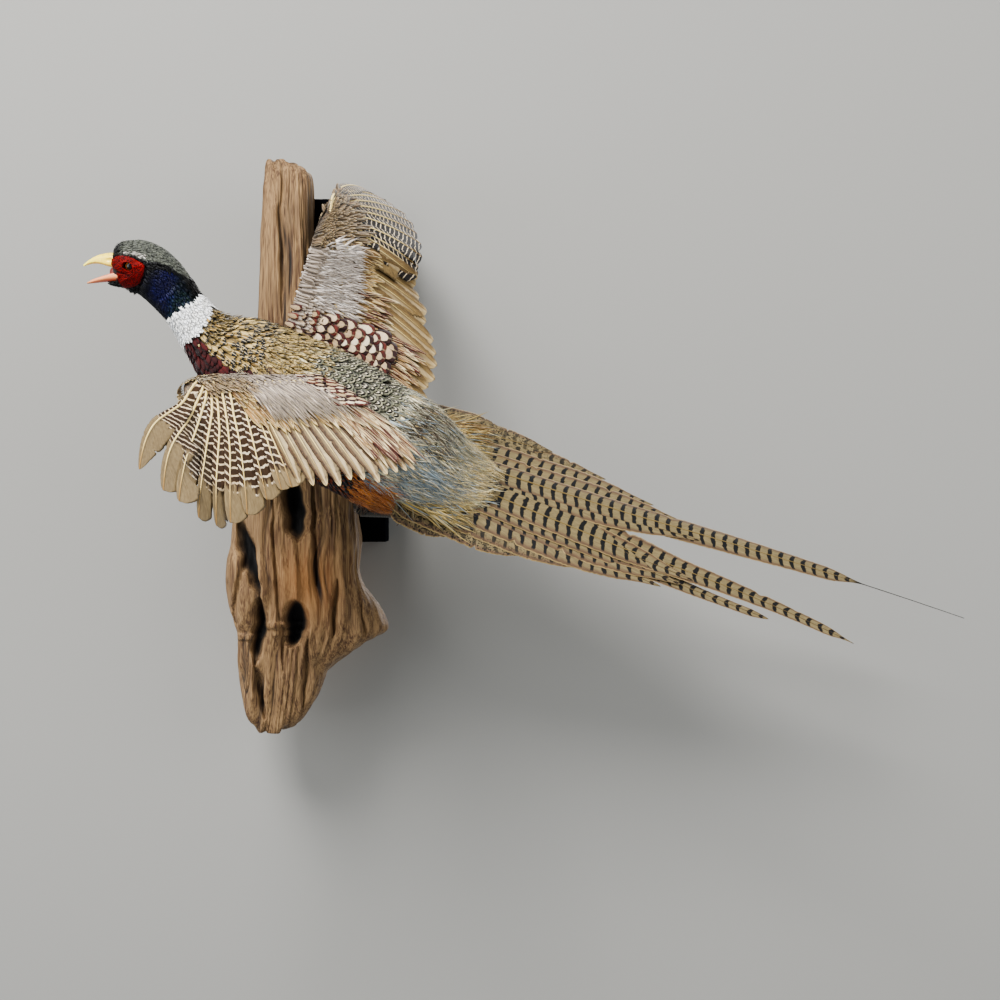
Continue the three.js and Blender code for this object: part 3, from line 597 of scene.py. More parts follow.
class Shader:
    """A material's or a group's nodes, with short calls for the ones used here."""

    def __init__(self, tree):
        self.tree = tree

    def node(self, kind, inputs=(), **settings):
        """Adds a node and gives all its outputs in order."""
        made = self.tree.nodes.new(kind)
        for key, value in settings.items():
            setattr(made, key, value)
        feed(self.tree, made, dict(inputs))
        return [Value(self.tree, socket) for socket in made.outputs]

    def mix(self, share, a, b, blend="MIX"):
        return self.node("ShaderNodeMix", {0: share, 6: a, 7: b}, data_type="RGBA", blend_type=blend)[2]

    def layers(self, colour, *coats):
        """Colours laid over one another, each by its share."""
        for share, code in coats:
            colour = self.mix(share, colour, code)
        return colour

    def rise(self, value, low, high):
        return self.node("ShaderNodeMapRange", {0: value, 1: low, 2: high}, interpolation_type="SMOOTHSTEP")[0]

    def noise(self, where, scale=1.0, detail=2.0, distortion=0.0):
        return self.node("ShaderNodeTexNoise", {"Vector": where, "Scale": scale, "Detail": detail,
                                                "Distortion": distortion})[0]

    def place(self, scale=(1.0, 1.0, 1.0)):
        """Place on the piece, stretched by a scale for each axis."""
        where = self.node("ShaderNodeTexCoord")[3]
        return self.node("ShaderNodeMapping", {"Vector": where, "Scale": scale})[0]

    def stored(self, name):
        """Colour, vector, grey and alpha of a stored attribute."""
        return self.node("ShaderNodeAttribute", attribute_name=name)

    def uv(self, name):
        return self.node("ShaderNodeUVMap", uv_map=name)[0]

    def parts(self, vector):
        return self.node("ShaderNodeSeparateXYZ", {0: vector})

    def vector(self, x, y, z):
        return self.node("ShaderNodeCombineXYZ", {0: x, 1: y, 2: z})[0]

    def bump(self, height, distance, strength=1.0):
        return self.node("ShaderNodeBump", {"Height": height, "Distance": distance, "Strength": strength})[0]


def new_finish(name, build):
    """A material whose build function gives the Principled inputs: values for what changes over the
    surface, and numbers for what doesn't."""
    material = bpy.data.materials.new(name)
    material.use_nodes = True
    tree = material.node_tree
    feed(tree, tree.nodes["Principled BSDF"], build(Shader(tree)))
    return material


def barbs_group():
    """Fine barbs that slant from the shaft towards the tip: noise stretched along each barb, as a change
    of the colour's brightness and as a height. A few barbs stick together and show as paler streaks."""
    group = bpy.data.node_groups.new("feather_barbs", "ShaderNodeTree")
    for name, way, kind in (("Colour", "INPUT", "Color"), ("Vane", "INPUT", "Vector"),
                            ("Chance", "INPUT", "Float"), ("Barbs", "INPUT", "Float"),
                            ("Depth", "INPUT", "Float"), ("Colour", "OUTPUT", "Color"),
                            ("Height", "OUTPUT", "Float")):
        group.interface.new_socket(name, in_out=way, socket_type=f"NodeSocket{kind}")
    s = Shader(group)
    colour, vane, chance, barbs, depth = s.node("NodeGroupInput")[:5]
    u, v, _ = s.parts(vane)
    off = abs(u - 0.5)
    slant, seed = v - off * 0.35, chance * 37.0
    fine = s.noise(s.vector(slant * barbs, off, seed), detail=1.0)
    clump = s.noise(s.vector(slant * (barbs * 0.28), off, seed))
    both = fine * 0.55 + clump * 0.45
    bright = (both - 0.5) * depth * 2.4 + 1.0
    shade = s.node("ShaderNodeCombineColor", {0: bright, 1: bright, 2: bright})[0]
    s.node("NodeGroupOutput", {"Colour": s.mix(1.0, colour, shade, "MULTIPLY"), "Height": both})
    return group


BARBS = barbs_group()


def barbed(s, colour, vane, chance, barbs, depth):
    """The group of barbs, with so many of them on a vane and so deep."""
    return s.node("ShaderNodeGroup", {"Colour": colour, "Vane": vane, "Chance": chance, "Barbs": barbs,
                                      "Depth": depth}, node_tree=BARBS)


def coat_finish(name, barbs=26.0, depth=0.5, roughness=0.75, metallic=0.0, sheen=0.05, specular=0.2,
                root_shade=0.4):
    """Small feathers. The outline share is the hypotenuse of the share across and of the last part of
    the length, so lines of equal share are the rounded U of the feather's edge: the middle lies inside
    the first zone, the band between the zones and the rim outside both. The tick is an ellipse."""
    def build(s):
        vane = s.uv("vane")
        u, v, _ = s.parts(vane)
        _, zones, _, chance = s.stored("zones")
        first, second, shaft = s.parts(zones)
        along, half_wide, half_long = s.parts(s.stored("tick")[1])
        tint, mark, rim = (s.stored(key)[0] for key in ("tint", "mark", "rim"))
        off, late = (u - 0.5) * 2.0, ((v - 0.5) / 0.5).at_least(0.0)
        wobble = (s.noise(s.vector(u * 5.0, v * 7.0, chance * 61.0)) - 0.5) * 0.16
        outline = (off * off + late * late).root() + wobble
        spot = (off / half_wide.at_least(0.001)) ** 2.0 + ((v - along) / half_long.at_least(0.001)) ** 2.0
        colour = s.layers(tint, (s.rise(outline - first, -0.05, 0.05), mark),
                          (s.rise(outline - second, -0.05, 0.05), rim),
                          (s.rise(spot + wobble, 1.15, 0.85), "1b1410"),
                          (s.rise(abs(off), 0.14, 0.04) * shaft, "e2d6bd"))
        # painted shade: each feather darkens towards its root, where the feathers in front overlap it
        colour = s.mix(s.rise(v, 0.45, 0.0) * root_shade, colour, "6a605a", "MULTIPLY")
        colour, height = barbed(s, colour, vane, chance, barbs, depth)
        return {"Base Color": colour, "Roughness": roughness, "Metallic": metallic,
                "Specular IOR Level": specular, "Sheen Weight": sheen, "Sheen Roughness": 0.5,
                "Normal": s.bump(height, 0.0002, 0.6)}
    return new_finish(name, build)


def quill_finish(name, bars, shaft_base="f3e4b8", shaft_tip="b89c68"):
    """Long feathers: a pattern in millimetres along and across the vane, a pale shaft, and barbs."""
    def build(s):
        vane = s.uv("vane")
        u, v, _ = s.parts(vane)
        across, along, _ = s.parts(s.uv("lay"))
        _, tone, _, chance = s.stored("tone")
        barred, wear, shaft = s.parts(tone)
        seed = chance * 53.0

        def grain(wide, long, scale=1.0, detail=2.0, way=along):
            """Noise over the vane, its millimetres across and along multiplied by wide and long."""
            return s.noise(s.vector(across * wide, way * long, seed), scale, detail)

        colour = bars(s, grain, u - 0.5, v, across, along, barred, wear, chance)
        colour, height = barbed(s, colour, vane, chance, 150.0, 0.6)
        colour = s.mix(shaft, colour, s.mix(s.rise(v, 0.6, 1.0), shaft_base, shaft_tip))
        return {"Base Color": colour, "Roughness": 0.62, "Specular IOR Level": 0.18,
                "Normal": s.bump(height, 0.0003, 0.7)}
    return new_finish(name, build)


def flight_bars(pitch, deep, light, earth, clay, thin):
    """Dark ground crossed by white bars that slant back from the shaft, as far as the bars reach along the
    feather; past a broken white hook the vane is plain buff. Where barred is 0 the vane is buff with a brown side,
    mottled along its barbs. Both edges of every vane are darkened as painted shade between the overlapping
    feathers."""
    def bars(s, grain, side, v, across, along, barred, wear, chance):
        off = abs(side)
        slant = across * (s.rise(side, -0.02, 0.02) * 1.15 - 0.6)
        wave = ((along + slant + grain(0.3, 0.12) * (0.55 * pitch)) / pitch).fraction()
        wide = grain(1.0, 1.0, 0.35) * 0.22 + thin
        bar = s.rise(wave, wide + 0.09, wide) * s.rise(wave, 0.0, 0.06)
        ground = s.mix(grain(1.0, 0.4, 0.6), earth, clay)
        marked = s.mix(bar, ground, s.mix(chance, "f1e8d8", "e3d4bb"))
        mottle = s.rise(grain(0.9, 0.4, 1.0, 3.0, along - off), 0.5, 0.6) * s.rise(off, 0.1, 0.34)
        buff = s.layers(s.mix(grain(1.0, 0.35, 0.5, 3.0), deep, light),
                        (s.rise(abs(side - 0.12), 0.12, 0.05) * wear * 0.45, "ecdfc4"),
                        (s.rise(side, -0.1, -0.34) * wear * 0.85, "7c6040"),
                        (mottle * wear * 0.7, "54402a"))
        end = v + (grain(0.35, 0.05) - 0.5) * 0.2
        return s.layers(marked, (s.rise(end, barred - 0.02, barred + 0.03), buff),
                        # the first pair is painted shade along both edges of the vane, where the next feathers
                        # overlap it; the second is a dark streak beside the shaft
                        (s.rise(off, 0.42, 0.49) * 0.55, "3f2f20"), (s.rise(off, 0.1, 0.0) * 0.4, "3d2e20"),
                        (s.rise(v, 0.94, 1.0) * wear, "e0d2b2"))
    return bars


def tail_bars(s, grain, side, v, across, along, barred, wear, chance):
    """Olive-buff ground with rounded black bars every 10 or 11 mm that stand either side of the shaft, pinkish
    brown towards the edges of the vane; outer feathers are mottled with small black spots instead."""
    side = abs(side)
    strength = barred.at_most(1.0)
    bent = along + grain(0.2, 0.1) * 4.0 - side ** 2.0 * 14.0
    wave = abs((bent / (strength * 2.8 + 8.4)).fraction() - 0.5)
    reach = s.rise(side, 0.42, 0.16) * 0.05 + 0.17
    bar = s.rise(wave, reach, reach - 0.06) * s.rise(side, 0.45, 0.38)
    return s.layers(s.mix(grain(1.0, 0.3, 0.6, 3.0), "897e68", "aca184"), (s.rise(side, 0.28, 0.44), "8c7a66"),
                    (s.rise(grain(1.0, 1.0, 0.55), 0.52, 0.6) * wear, "2b2117"),
                    (s.rise(side, 0.455, 0.49) * 0.5, "cdbd97"), (bar * strength, "0a0706"),
                    (s.rise(barred, 1.2, 1.6) * s.rise(v, 0.77, 0.8), "1a1512"))


def board_finish(s):
    """Matt black fibreboard, finely speckled."""
    speckle = s.noise(s.place(), 900.0, 3.0)
    return {"Base Color": s.mix(speckle, "2e2f32", "434448"), "Roughness": 0.9,
            "Specular IOR Level": 0.0, "Normal": s.bump(speckle, 0.0003, 0.5)}


def rod_finish(s):
    """Drawn steel, its fine lines along the rod."""
    drawn = s.noise(s.place((900.0, 12.0, 900.0)))
    return {"Base Color": s.mix(drawn, "74777a", "a7a9ab"), "Metallic": 1.0,
            "Roughness": drawn * 0.2 + 0.28, "Normal": s.bump(drawn, 0.0001, 0.4)}


def wood_finish(s):
    """Weathered driftwood: streaks along the grain, a warm stain and a grey bloom, with painted shade in the
    grooves between the ridges and, nearly black, in the crevices by the piece's own depth."""
    ridge, depth, warm = s.parts(s.stored("flow")[1])
    long_streak = s.noise(s.place((210.0, 210.0, 5.0)), 1.0, 4.0, 0.3)
    fine_streak = s.noise(s.place((900.0, 900.0, 14.0)), 1.0, 3.0)
    patch = s.noise(s.place(), 14.0, 3.0)
    colour = s.layers("846c52", (s.rise(long_streak, 0.36, 0.66), "ad987b"),
                      (s.rise(fine_streak, 0.42, 0.7) * 0.6, "c0ab8b"),
                      (s.rise(fine_streak, 0.46, 0.3) * 0.55, "664f3a"),
                      (s.rise(patch, 0.45, 0.7) * 0.35, "a08e76"), (warm * 0.4, "c89c60"))
    # painted shade in the grooves, where the stored ridge height is low
    colour = s.mix(s.rise(ridge, 0.42, 0.12), colour, "6a523c", "MULTIPLY")
    # painted shade, nearly black, in the crevices, deepening with their stored depth
    colour = s.mix(s.rise(depth, 0.12, 0.75), colour, "1d130a")
    return {"Base Color": colour, "Roughness": 0.82, "Specular IOR Level": 0.3,
            "Normal": s.bump(fine_streak * 0.6 + long_streak * 0.8, 0.0012, 0.8)}


def horn_finish(pale, deep):
    """Smooth horn: paler towards the tip and the cutting edge, faint growth lines, a soft polish."""
    def build(s):
        lines = s.noise(s.place((420.0, 90.0, 90.0)), 1.0, 3.0)
        colour = s.layers(deep, (s.parts(s.stored("shade")[1])[0], pale),
                          (s.rise(lines, 0.45, 0.75) * 0.25, "b79a58"))
        return {"Base Color": colour, "Roughness": 0.34, "Subsurface Weight": 0.08,
                "Subsurface Scale": 0.002, "Normal": s.bump(lines, 0.0001, 0.3)}
    return build


def wattle_finish(s):
    """Bare red skin: the crowns of the papillae are brighter, with painted shade between them, and the creases are
    nearly black-red with painted shade.
    """
    # the stored grain's first part is the papillae's crowns, with painted shade between them, in the creases and
    # in the hollow by the eye; its second is the orange
    crown, orange, _ = s.parts(s.stored("grain")[1])
    cells = s.node("ShaderNodeTexVoronoi", {"Vector": s.place(), "Scale": 1300.0})[0]
    # painted shade: dark red between the papillae, in the creases and in the hollow by the eye; brighter red on
    # the papillae's crowns
    colour = s.layers("48000e", (s.rise(crown, 0.15, 0.85), "b00a26"), (orange * 0.8, "c42030"))
    return {"Base Color": s.mix(s.rise(cells, 0.3, 0.7), colour, "7a2a2a", "MULTIPLY"), "Roughness": 0.6,
            "Specular IOR Level": 0.06, "Subsurface Weight": 0.05, "Subsurface Scale": 0.001,
            "Normal": s.bump(cells, 0.0004, 0.6)}


def mouth_finish(s):
    """Moist, mottled lining of the mouth."""
    return {"Base Color": s.mix(s.noise(s.place(), 500.0), "6e2a20", "b0563c"), "Roughness": 0.45}


def eye_finish(s):
    """Glass eye: black pupil, amber iris with radial fibres and a dark outer ring, by the share of the
    radius from the pupil's axis."""
    ring, across, up = s.parts(s.stored("ring")[1])
    fibres = s.noise(s.vector(across * 9.0, up * 9.0, ring), 3.0)
    colour = s.layers("8a5214", (fibres, "d9a040"), (s.rise(ring, 0.66, 0.8), "1c0f08"),
                      (s.rise(ring, 0.44, 0.39), "050403"))
    return {"Base Color": colour, "Roughness": 0.04, "Specular IOR Level": 0.3, "Coat Weight": 0.1,
            "Coat Roughness": 0.02}


def skin_finish(s):
    """Down between the feathers, in the coat's own colours and a little darker in its hollows."""
    tint, pores = s.stored("tint")[0], s.noise(s.place(), 700.0, 3.0)
    down = s.mix(s.rise(pores, 0.3, 0.7), s.mix(1.0, tint, "8c8480", "MULTIPLY"), tint)
    return {"Base Color": down, "Roughness": 0.9, "Normal": s.bump(pores, 0.0006, 0.7)}


def scale_finish(s):
    """Leg scales with dark joints and a worn, waxy face."""
    shade = s.parts(s.stored("shade")[1])[0]
    colour = s.layers("5a5346", (s.noise(s.place(), 160.0, 3.0), "7e7564"), (s.rise(shade, 0.35, 0.0), "39332a"))
    return {"Base Color": colour, "Roughness": 0.5, "Normal": s.bump(shade, 0.0005, 0.5)}


WIDE_BARS = flight_bars(8.4, "96866e", "bcae92", "5a4836", "7c6852", 0.1)
NARROW_BARS = flight_bars(6.4, "9a8664", "beac86", "2c2118", "4a3a2c", 0.03)
FINISH = {
    "board": new_finish("black_painted_board", board_finish),
    "rod": new_finish("drawn_steel_rod", rod_finish),
    "wood": new_finish("weathered_driftwood", wood_finish),
    "upper_horn": new_finish("pale_bill_horn", horn_finish("fff486", "fbe05c")),
    "lower_horn": new_finish("warm_bill_horn", horn_finish("f0bc92", "cf6238")),
    "claw": new_finish("dark_claw_horn", horn_finish("6e6457", "2f2924")),
    "wattle": new_finish("red_wattle_skin", wattle_finish),
    "mouth": new_finish("mouth_skin", mouth_finish),
    "eye": new_finish("amber_glass_eye", eye_finish),
    "skin": new_finish("feathered_skin", skin_finish),
    "scales": new_finish("leg_scales", scale_finish),
    "crown": coat_finish("fine_crown_feathers", 8.0, 0.35, 0.6),
    "glossy": coat_finish("glossy_neck_feathers", 8.0, 0.5, 0.46, 0.2, 0.0, 0.14),
    "downy": coat_finish("downy_collar_feathers", 8.0, 0.2, 0.8, sheen=0.2, root_shade=0.0),
    "soft": coat_finish("soft_body_feathers", 16.0, 0.7, 0.8, specular=0.15),
    "mantle": coat_finish("gold_mantle_feathers", 14.0, 0.5, 0.66, root_shade=0.9),
    "marked": coat_finish("marked_back_feathers", 20.0, 0.5, 0.62),
    "hairy": coat_finish("hair_like_plumes", 3.0, 0.5, 0.8, root_shade=0.25),
    "flight": quill_finish("barred_flight_feathers", WIDE_BARS),
    "narrow": quill_finish("finely_barred_flight_feathers", NARROW_BARS),
    "tail": quill_finish("barred_tail_feathers", tail_bars, "a3946e", "75644a"),
}

# ---------------------------------------------------------------- long feathers, one by one

# Height of the arm's coverts and of its skin over the wing's sheet, by share of the chord.
ARM_TOP = ([0, 0.02, 0.07, 0.15, 0.25, 0.36, 0.6, 1], [0.6, 3.4, 5.4, 5.2, 4.0, 3.0, 2.4, 1.4])
ARM_SKIN = ([0, 0.03, 0.07, 0.15, 0.25, 0.3, 0.4], [0.2, 1.8, 2.8, 2.2, 1.0, 0.5, 0.0])
QUILL_ACROSS = np.array([-1, -0.75, -0.4, -0.06, 0.06, 0.3, 0.6, 0.85, 1])
SHAFT_RING = np.array([[-1, 0.05], [0, 1], [1, 0.05], [0, -0.8]])


def quill_feathers(name, finish, slot, lines, nodes, rows, seed):
    """Closed vanes with a raised shaft. Each line gives a middle curve, the direction of the back and the
    direction across, half widths of both vanes, tilt, and its tones. A vane's point lies at the middle
    plus a·half width across; it stands off by the camber a² (down) and by the tilt along a. The shaft is
    a four-sided taper on the middle curve."""
    rng = np.random.default_rng(seed)
    v, a, width = np.linspace(0, 1, rows), QUILL_ACROSS, 1 / len(lines)
    columns, ring = len(a), np.arange(4)
    vane_faces = slab_faces(rows, columns)
    shaft_faces = faces_of(grid_faces(rows, 4, around=True, flip=True), [ring, ring[::-1] + (rows - 1) * 4])
    own = np.stack(np.broadcast_arrays(a / 2 + 0.5, v[:, None]), -1).reshape(-1, 2)
    spine_own = np.stack([np.full(rows * 4, 0.5), np.repeat(v, 4)], -1)
    bodies, maps = [], []
    for index, line in enumerate(lines):
        middle, back, across = line["middle"](v), line["back"](v), line["across"](v)
        ragged = 1 - 0.05 * rng.random((rows, 2))
        for _ in range(line["splits"]):
            at, deep = rng.uniform(0.35, 0.95), rng.uniform(0.1, 0.3)
            ragged[:, rng.integers(0, 2)] *= 1 - deep * np.exp(-((v - at) / 0.008) ** 2)
        outer, inner = line["outer"](v) * ragged[:, 0], line["inner"](v) * ragged[:, 1]
        reach = np.where(a < 0, outer[:, None], inner[:, None]) * a
        share = reach / max(outer.max(), inner.max())
        fall = -line["camber"] * share**2 - line["tilt"] * share
        upper = middle[:, None] + across[:, None] * reach[..., None] + back[:, None] * fall[..., None]
        thick = (0.00022 + 0.0003 * (1 - np.abs(a))) * (1.1 - 0.6 * v[:, None])
        lower = upper - back[:, None] * thick[..., None]
        lay = np.stack([reach.reshape(-1) / MM, np.repeat(v * travelled(middle)[-1] / MM, columns)], -1)
        strip = np.stack([(index + 0.05 + 0.7 * own[:, 0]) * width, 0.01 + 0.98 * own[:, 1]], -1)
        spine_strip = np.stack([(index + 0.85 + np.tile(ring * 0.02, rows)) * width,
                                0.01 + 0.98 * spine_own[:, 1]], -1)
        radius = (lerp(0.8, 0.22, v) * MM * line["shaft"](v))[:, None, None]
        spine = (middle[:, None] + across[:, None] * SHAFT_RING[:, :1] * radius
                 + back[:, None] * (SHAFT_RING[:, 1:] * radius * 0.8 + 0.00005))
        chance = rng.random()
        tones = [np.tile([line["barred"], line["wear"], on_shaft, chance], (count, 1))
                 for on_shaft, count in ((0, 2 * rows * columns), (1, 4 * rows))]
        bodies += [(np.concatenate([upper, lower]).reshape(-1, 3), *vane_faces),
                   (spine.reshape(-1, 3), *shaft_faces)]
        maps.append([np.vstack(part) for part in ((own, own, spine_own), (lay, lay, 0 * spine_own),
                                                  (strip, strip, spine_strip), tones)])
    vane, lay, bake, tone = (np.concatenate(part) for part in zip(*maps))
    piece = add_mesh(name, *joined(bodies), FINISH[finish], maps={"vane": vane, "lay": lay, "OFBake": bake},
                     colours={"tone": tone})
    return fit_out(piece, slot, *nodes)


def back_along(middle, across, upright):
    """Direction of a feather's back: square to its curve and to the direction across, turned upright."""
    def back(v):
        normal = np.cross(across(v), unit(np.gradient(middle(v), axis=0)))
        return unit(normal * np.sign(normal @ upright)[:, None])
    return back


# The near wing's quills gather towards the wrist: the place on the leading edge each one comes from, and
# the share of the chord over which it fans back out to its own line.
QUILL_ROOTS = ([0, 1, 2, 3, 4, 5, 6, 9, 10, 23], [8.6, 8.8, 8.9, 9.2, 9.6, 10.3, 11.2, 13.4, 13.9, 23.2])
QUILL_FADE = ([0, 1, 2, 3, 4, 9, 10, 23], [0.18, 0.28, 0.4, 0.55, 0.62, 0.62, 0.5, 0.5])

# On the far wing they lean back instead, and keep that lean to their tips.
SWEPT_BACK = ([0, 4, 8, 12, 19, 21, 22, 23], [0, -2.5, -5, -6.5, -6.5, -4.5, -2, 0])


def flight_line(side, place, rng):
    """One flight feather on the wing's surface, from the start share of the chord to its tip."""
    surface, upper = wing_surface(side), wing_axes(side)[0]
    primary, left = place < PRIMARIES, side == "left"
    twist = rng.uniform(-0.06, 0.06)
    start = (np.interp(place, [0, 3], [0.02, 0.1]) if left else 0.1) if primary else 0.14
    gather = np.interp(place, *QUILL_ROOTS) - place if left else np.interp(place, *SWEPT_BACK)
    fade = np.interp(place, *QUILL_FADE) if left else 0.75
    reach = 1.0 if primary else 1 + rng.uniform(-0.035, 0.015)

    def path(v):
        t = lerp(start, reach, v)
        pulled = np.exp(-(t / fade) ** 1.3) - np.exp(-(1 / fade) ** 1.3)
        return t, place + gather * pulled + twist * v, pulled

    def middle(v):
        t, at, pulled = path(v)
        risen = (np.interp(t, *ARM_SKIN) + 0.9 * rise_between(-t, -0.42, -0.3)) * MM
        if left:
            risen = risen + 0.25 * min(place, PRIMARIES) * pulled * MM
        return surface(t, at) + upper * risen[:, None]

    def across(v):
        t, at, _ = path(v)
        along = unit(np.gradient(middle(v), axis=0))
        sideways = surface(t, at + 0.05) - surface(t, at - 0.05)
        normal = np.cross(sideways, surface(t + 0.01, at) - surface(t - 0.01, at))
        raw = np.cross(unit(normal), along)
        return unit(raw * np.sign((raw[-1] * sideways[-1]).sum()))

    blunt = (0.1, 0.55) if primary or not left else (0.3, 0.8)
    point = (0.3, 0.75) if left and place == 0 else blunt
    tip = np.vectorize(lambda v: min((1 - v) / point[0], 1) ** point[1])
    separated = rise_between(4.5 - place, 0, 1)
    outer = (lerp(5.0, 3.8, separated) if primary else 5.2) * MM
    wide = lerp(21.0, 18.0, rise_between(1.0 - place, 0, 1)) if primary else lerp(
        17.0, 8.0, rise_between(place, 20.5, 23))
    inner = (0.74 if primary and not left else 1.0) * wide * MM
    notch = lambda v, depth: 1 - depth * separated * rise_between(v, 0.5, 0.72)
    root = lambda v: lerp(0.3, 1, rise_between(v, 0.0, 0.5 if place < 3 else 0.2))
    return {
        "middle": middle, "across": across, "back": back_along(middle, across, upper),
        "outer": lambda v: outer * tip(v) ** 0.7 * notch(v, 0.1) * root(v) + 0.0003,
        "inner": lambda v: inner * tip(v) * notch(v, 0.12) * root(v) + 0.0003,
        "camber": 0.0012, "tilt": 0.0016, "splits": 4, "shaft": lambda v: 1.5 if primary else 1.0,
    }


def build_wing_quills(side):
    """Primaries barred as far along as their place says, and plain secondaries that show wear."""
    left = side == "left"
    rng = np.random.default_rng(11 if left else 12)
    lines = []
    for place in (*PRIMARY_PLACES, *np.linspace(PRIMARIES, FLIGHTS - 1, SECONDARIES)):
        line = flight_line(side, place, rng)
        if place < PRIMARIES:
            spread = np.interp(place, [0, 1, 2, 3, 5, 6, 9], [0.46, 0.6, 0.68, 0.75, 0.79, 0.86, 0.84])
            line["barred"], line["wear"] = (spread + rng.uniform(-0.03, 0.03)) if left else 1.2, 0.0
        else:
            line["barred"] = max(0.0, 0.42 - 0.12 * (place - PRIMARIES)) if left else 0.0
            line["wear"] = 1.0 if left else 0.5
        lines.append(line)
    for name, nodes, chosen, rows, seed in (("primary", "primaries", lines[:PRIMARIES], 90, 21),
                                            ("secondary", "secondaries", lines[PRIMARIES:], 80, 22)):
        quill_feathers(f"{side}_{name}_quills", "flight" if left else "narrow", "wing_feather", chosen,
                       [f"{side}_{nodes}"], rows, seed)


BARE_SHAFT = (425, 466)  # where the longest feather's vane ends and its bare shaft begins


def tail_line(across_at, length, angle, half, bend=0.0, height=0.0, start=24.0):
    """One tail feather: along the tail's sheet from the start, tapering to its tip."""
    _, back_axis, right_axis = TAIL_AXES

    def middle(v):
        distance = lerp(start, length, v)
        reach = np.clip((distance - STREAMER_START) / max(length - STREAMER_START, 1), 0, 1)
        lifted = height + 3.0 * (1 - rise_between(distance, 0, 160))
        return tail_surface(distance, across_at + bend * 4 * reach * (1 - reach), angle, lifted)

    def across(v):
        along = unit(np.gradient(middle(v), axis=0))
        return unit(right_axis - along * (along @ right_axis)[:, None])

    def wide(v):
        distance = lerp(start, length, v)
        streamer = length > STREAMER_START + 80
        taper = lerp(1.0, 0.34, rise_between(distance / length, 0.42 if streamer else 0.66, 1.0))
        tip = np.clip((1 - v) / (0.05 if streamer else 0.16), 0, 1) ** 0.7
        bare = rise_between(distance, *BARE_SHAFT)
        return (half * taper * rise_between(v, -0.25, 0.12) * tip * (1 - bare) + 0.25
                + 0.6 * bare * (1.2 - v)) * MM

    return {
        "middle": middle, "across": across, "back": back_along(middle, across, back_axis), "outer": wide,
        "inner": wide, "camber": 0.0012, "tilt": 0.0006, "barred": 2.0 if length > 500 else 1.0, "wear": 0.0,
        "splits": 3, "shaft": lambda v: 1.1 - rise_between(lerp(start, length, v), *BARE_SHAFT),
    }


def build_tail():
    """The fan, laid from its edges to its middle, and three long feathers over it, of which the left one
    has a wider inner vane half way along."""
    fan = []
    for index, (across_at, length, angle, half) in enumerate(TAIL_FEATHERS):
        side = abs(index - (len(TAIL_FEATHERS) - 1) / 2)
        line = tail_line(across_at, length, angle, half * 1.36, height=-0.55 * side - 0.2)
        line["tilt"] = 0.0012 * np.sign(across_at)
        line["wear"] = float(np.clip((side - 2.5) / 2, 0, 1))
        line["barred"] = float(np.clip(1.6 - 0.2 * side, 0.45, 1))
        fan.append((side, line))
    fan = [line for _, line in sorted(fan, key=lambda entry: -entry[0])]
    quill_feathers("tail_fan_quills", "tail", "tail_feather", fan, ["tail_fan"], 120, 31)
    for name, (across_at, length, angle, half, bend, layer) in STREAMERS.items():
        line = tail_line(across_at, length, angle, half * 1.16, bend + (6 if name == "left" else -1),
                         height=1.2 - layer * 0.5, start=40)
        line["camber"] = 0.0022
        drop = STREAMER_SPACING * layer + 1.2 - 0.5 * layer

        def middle(v, plain=line["middle"], length=length, drop=drop):
            fall = drop * rise_between(lerp(40, length, v), STREAMER_START - 60, STREAMER_START + 90)
            return plain(v) - TAIL_AXES[1] * (fall * MM)[:, None]

        def wider(v, plain=line["inner"], length=length):
            distance = lerp(40, length, v)
            return plain(v) * (1 + 0.75 * rise_between(distance, 90, 150) * rise_between(distance, 300, 215))

        line["middle"] = middle
        if name == "left":
            line["inner"] = wider
        quill_feathers(f"tail_streamer_{name}_quill", "tail", "tail_feather", [line],
                       [f"tail_streamer_{name}"], 220, 41 + layer)


# ---------------------------------------------------------------- driftwood


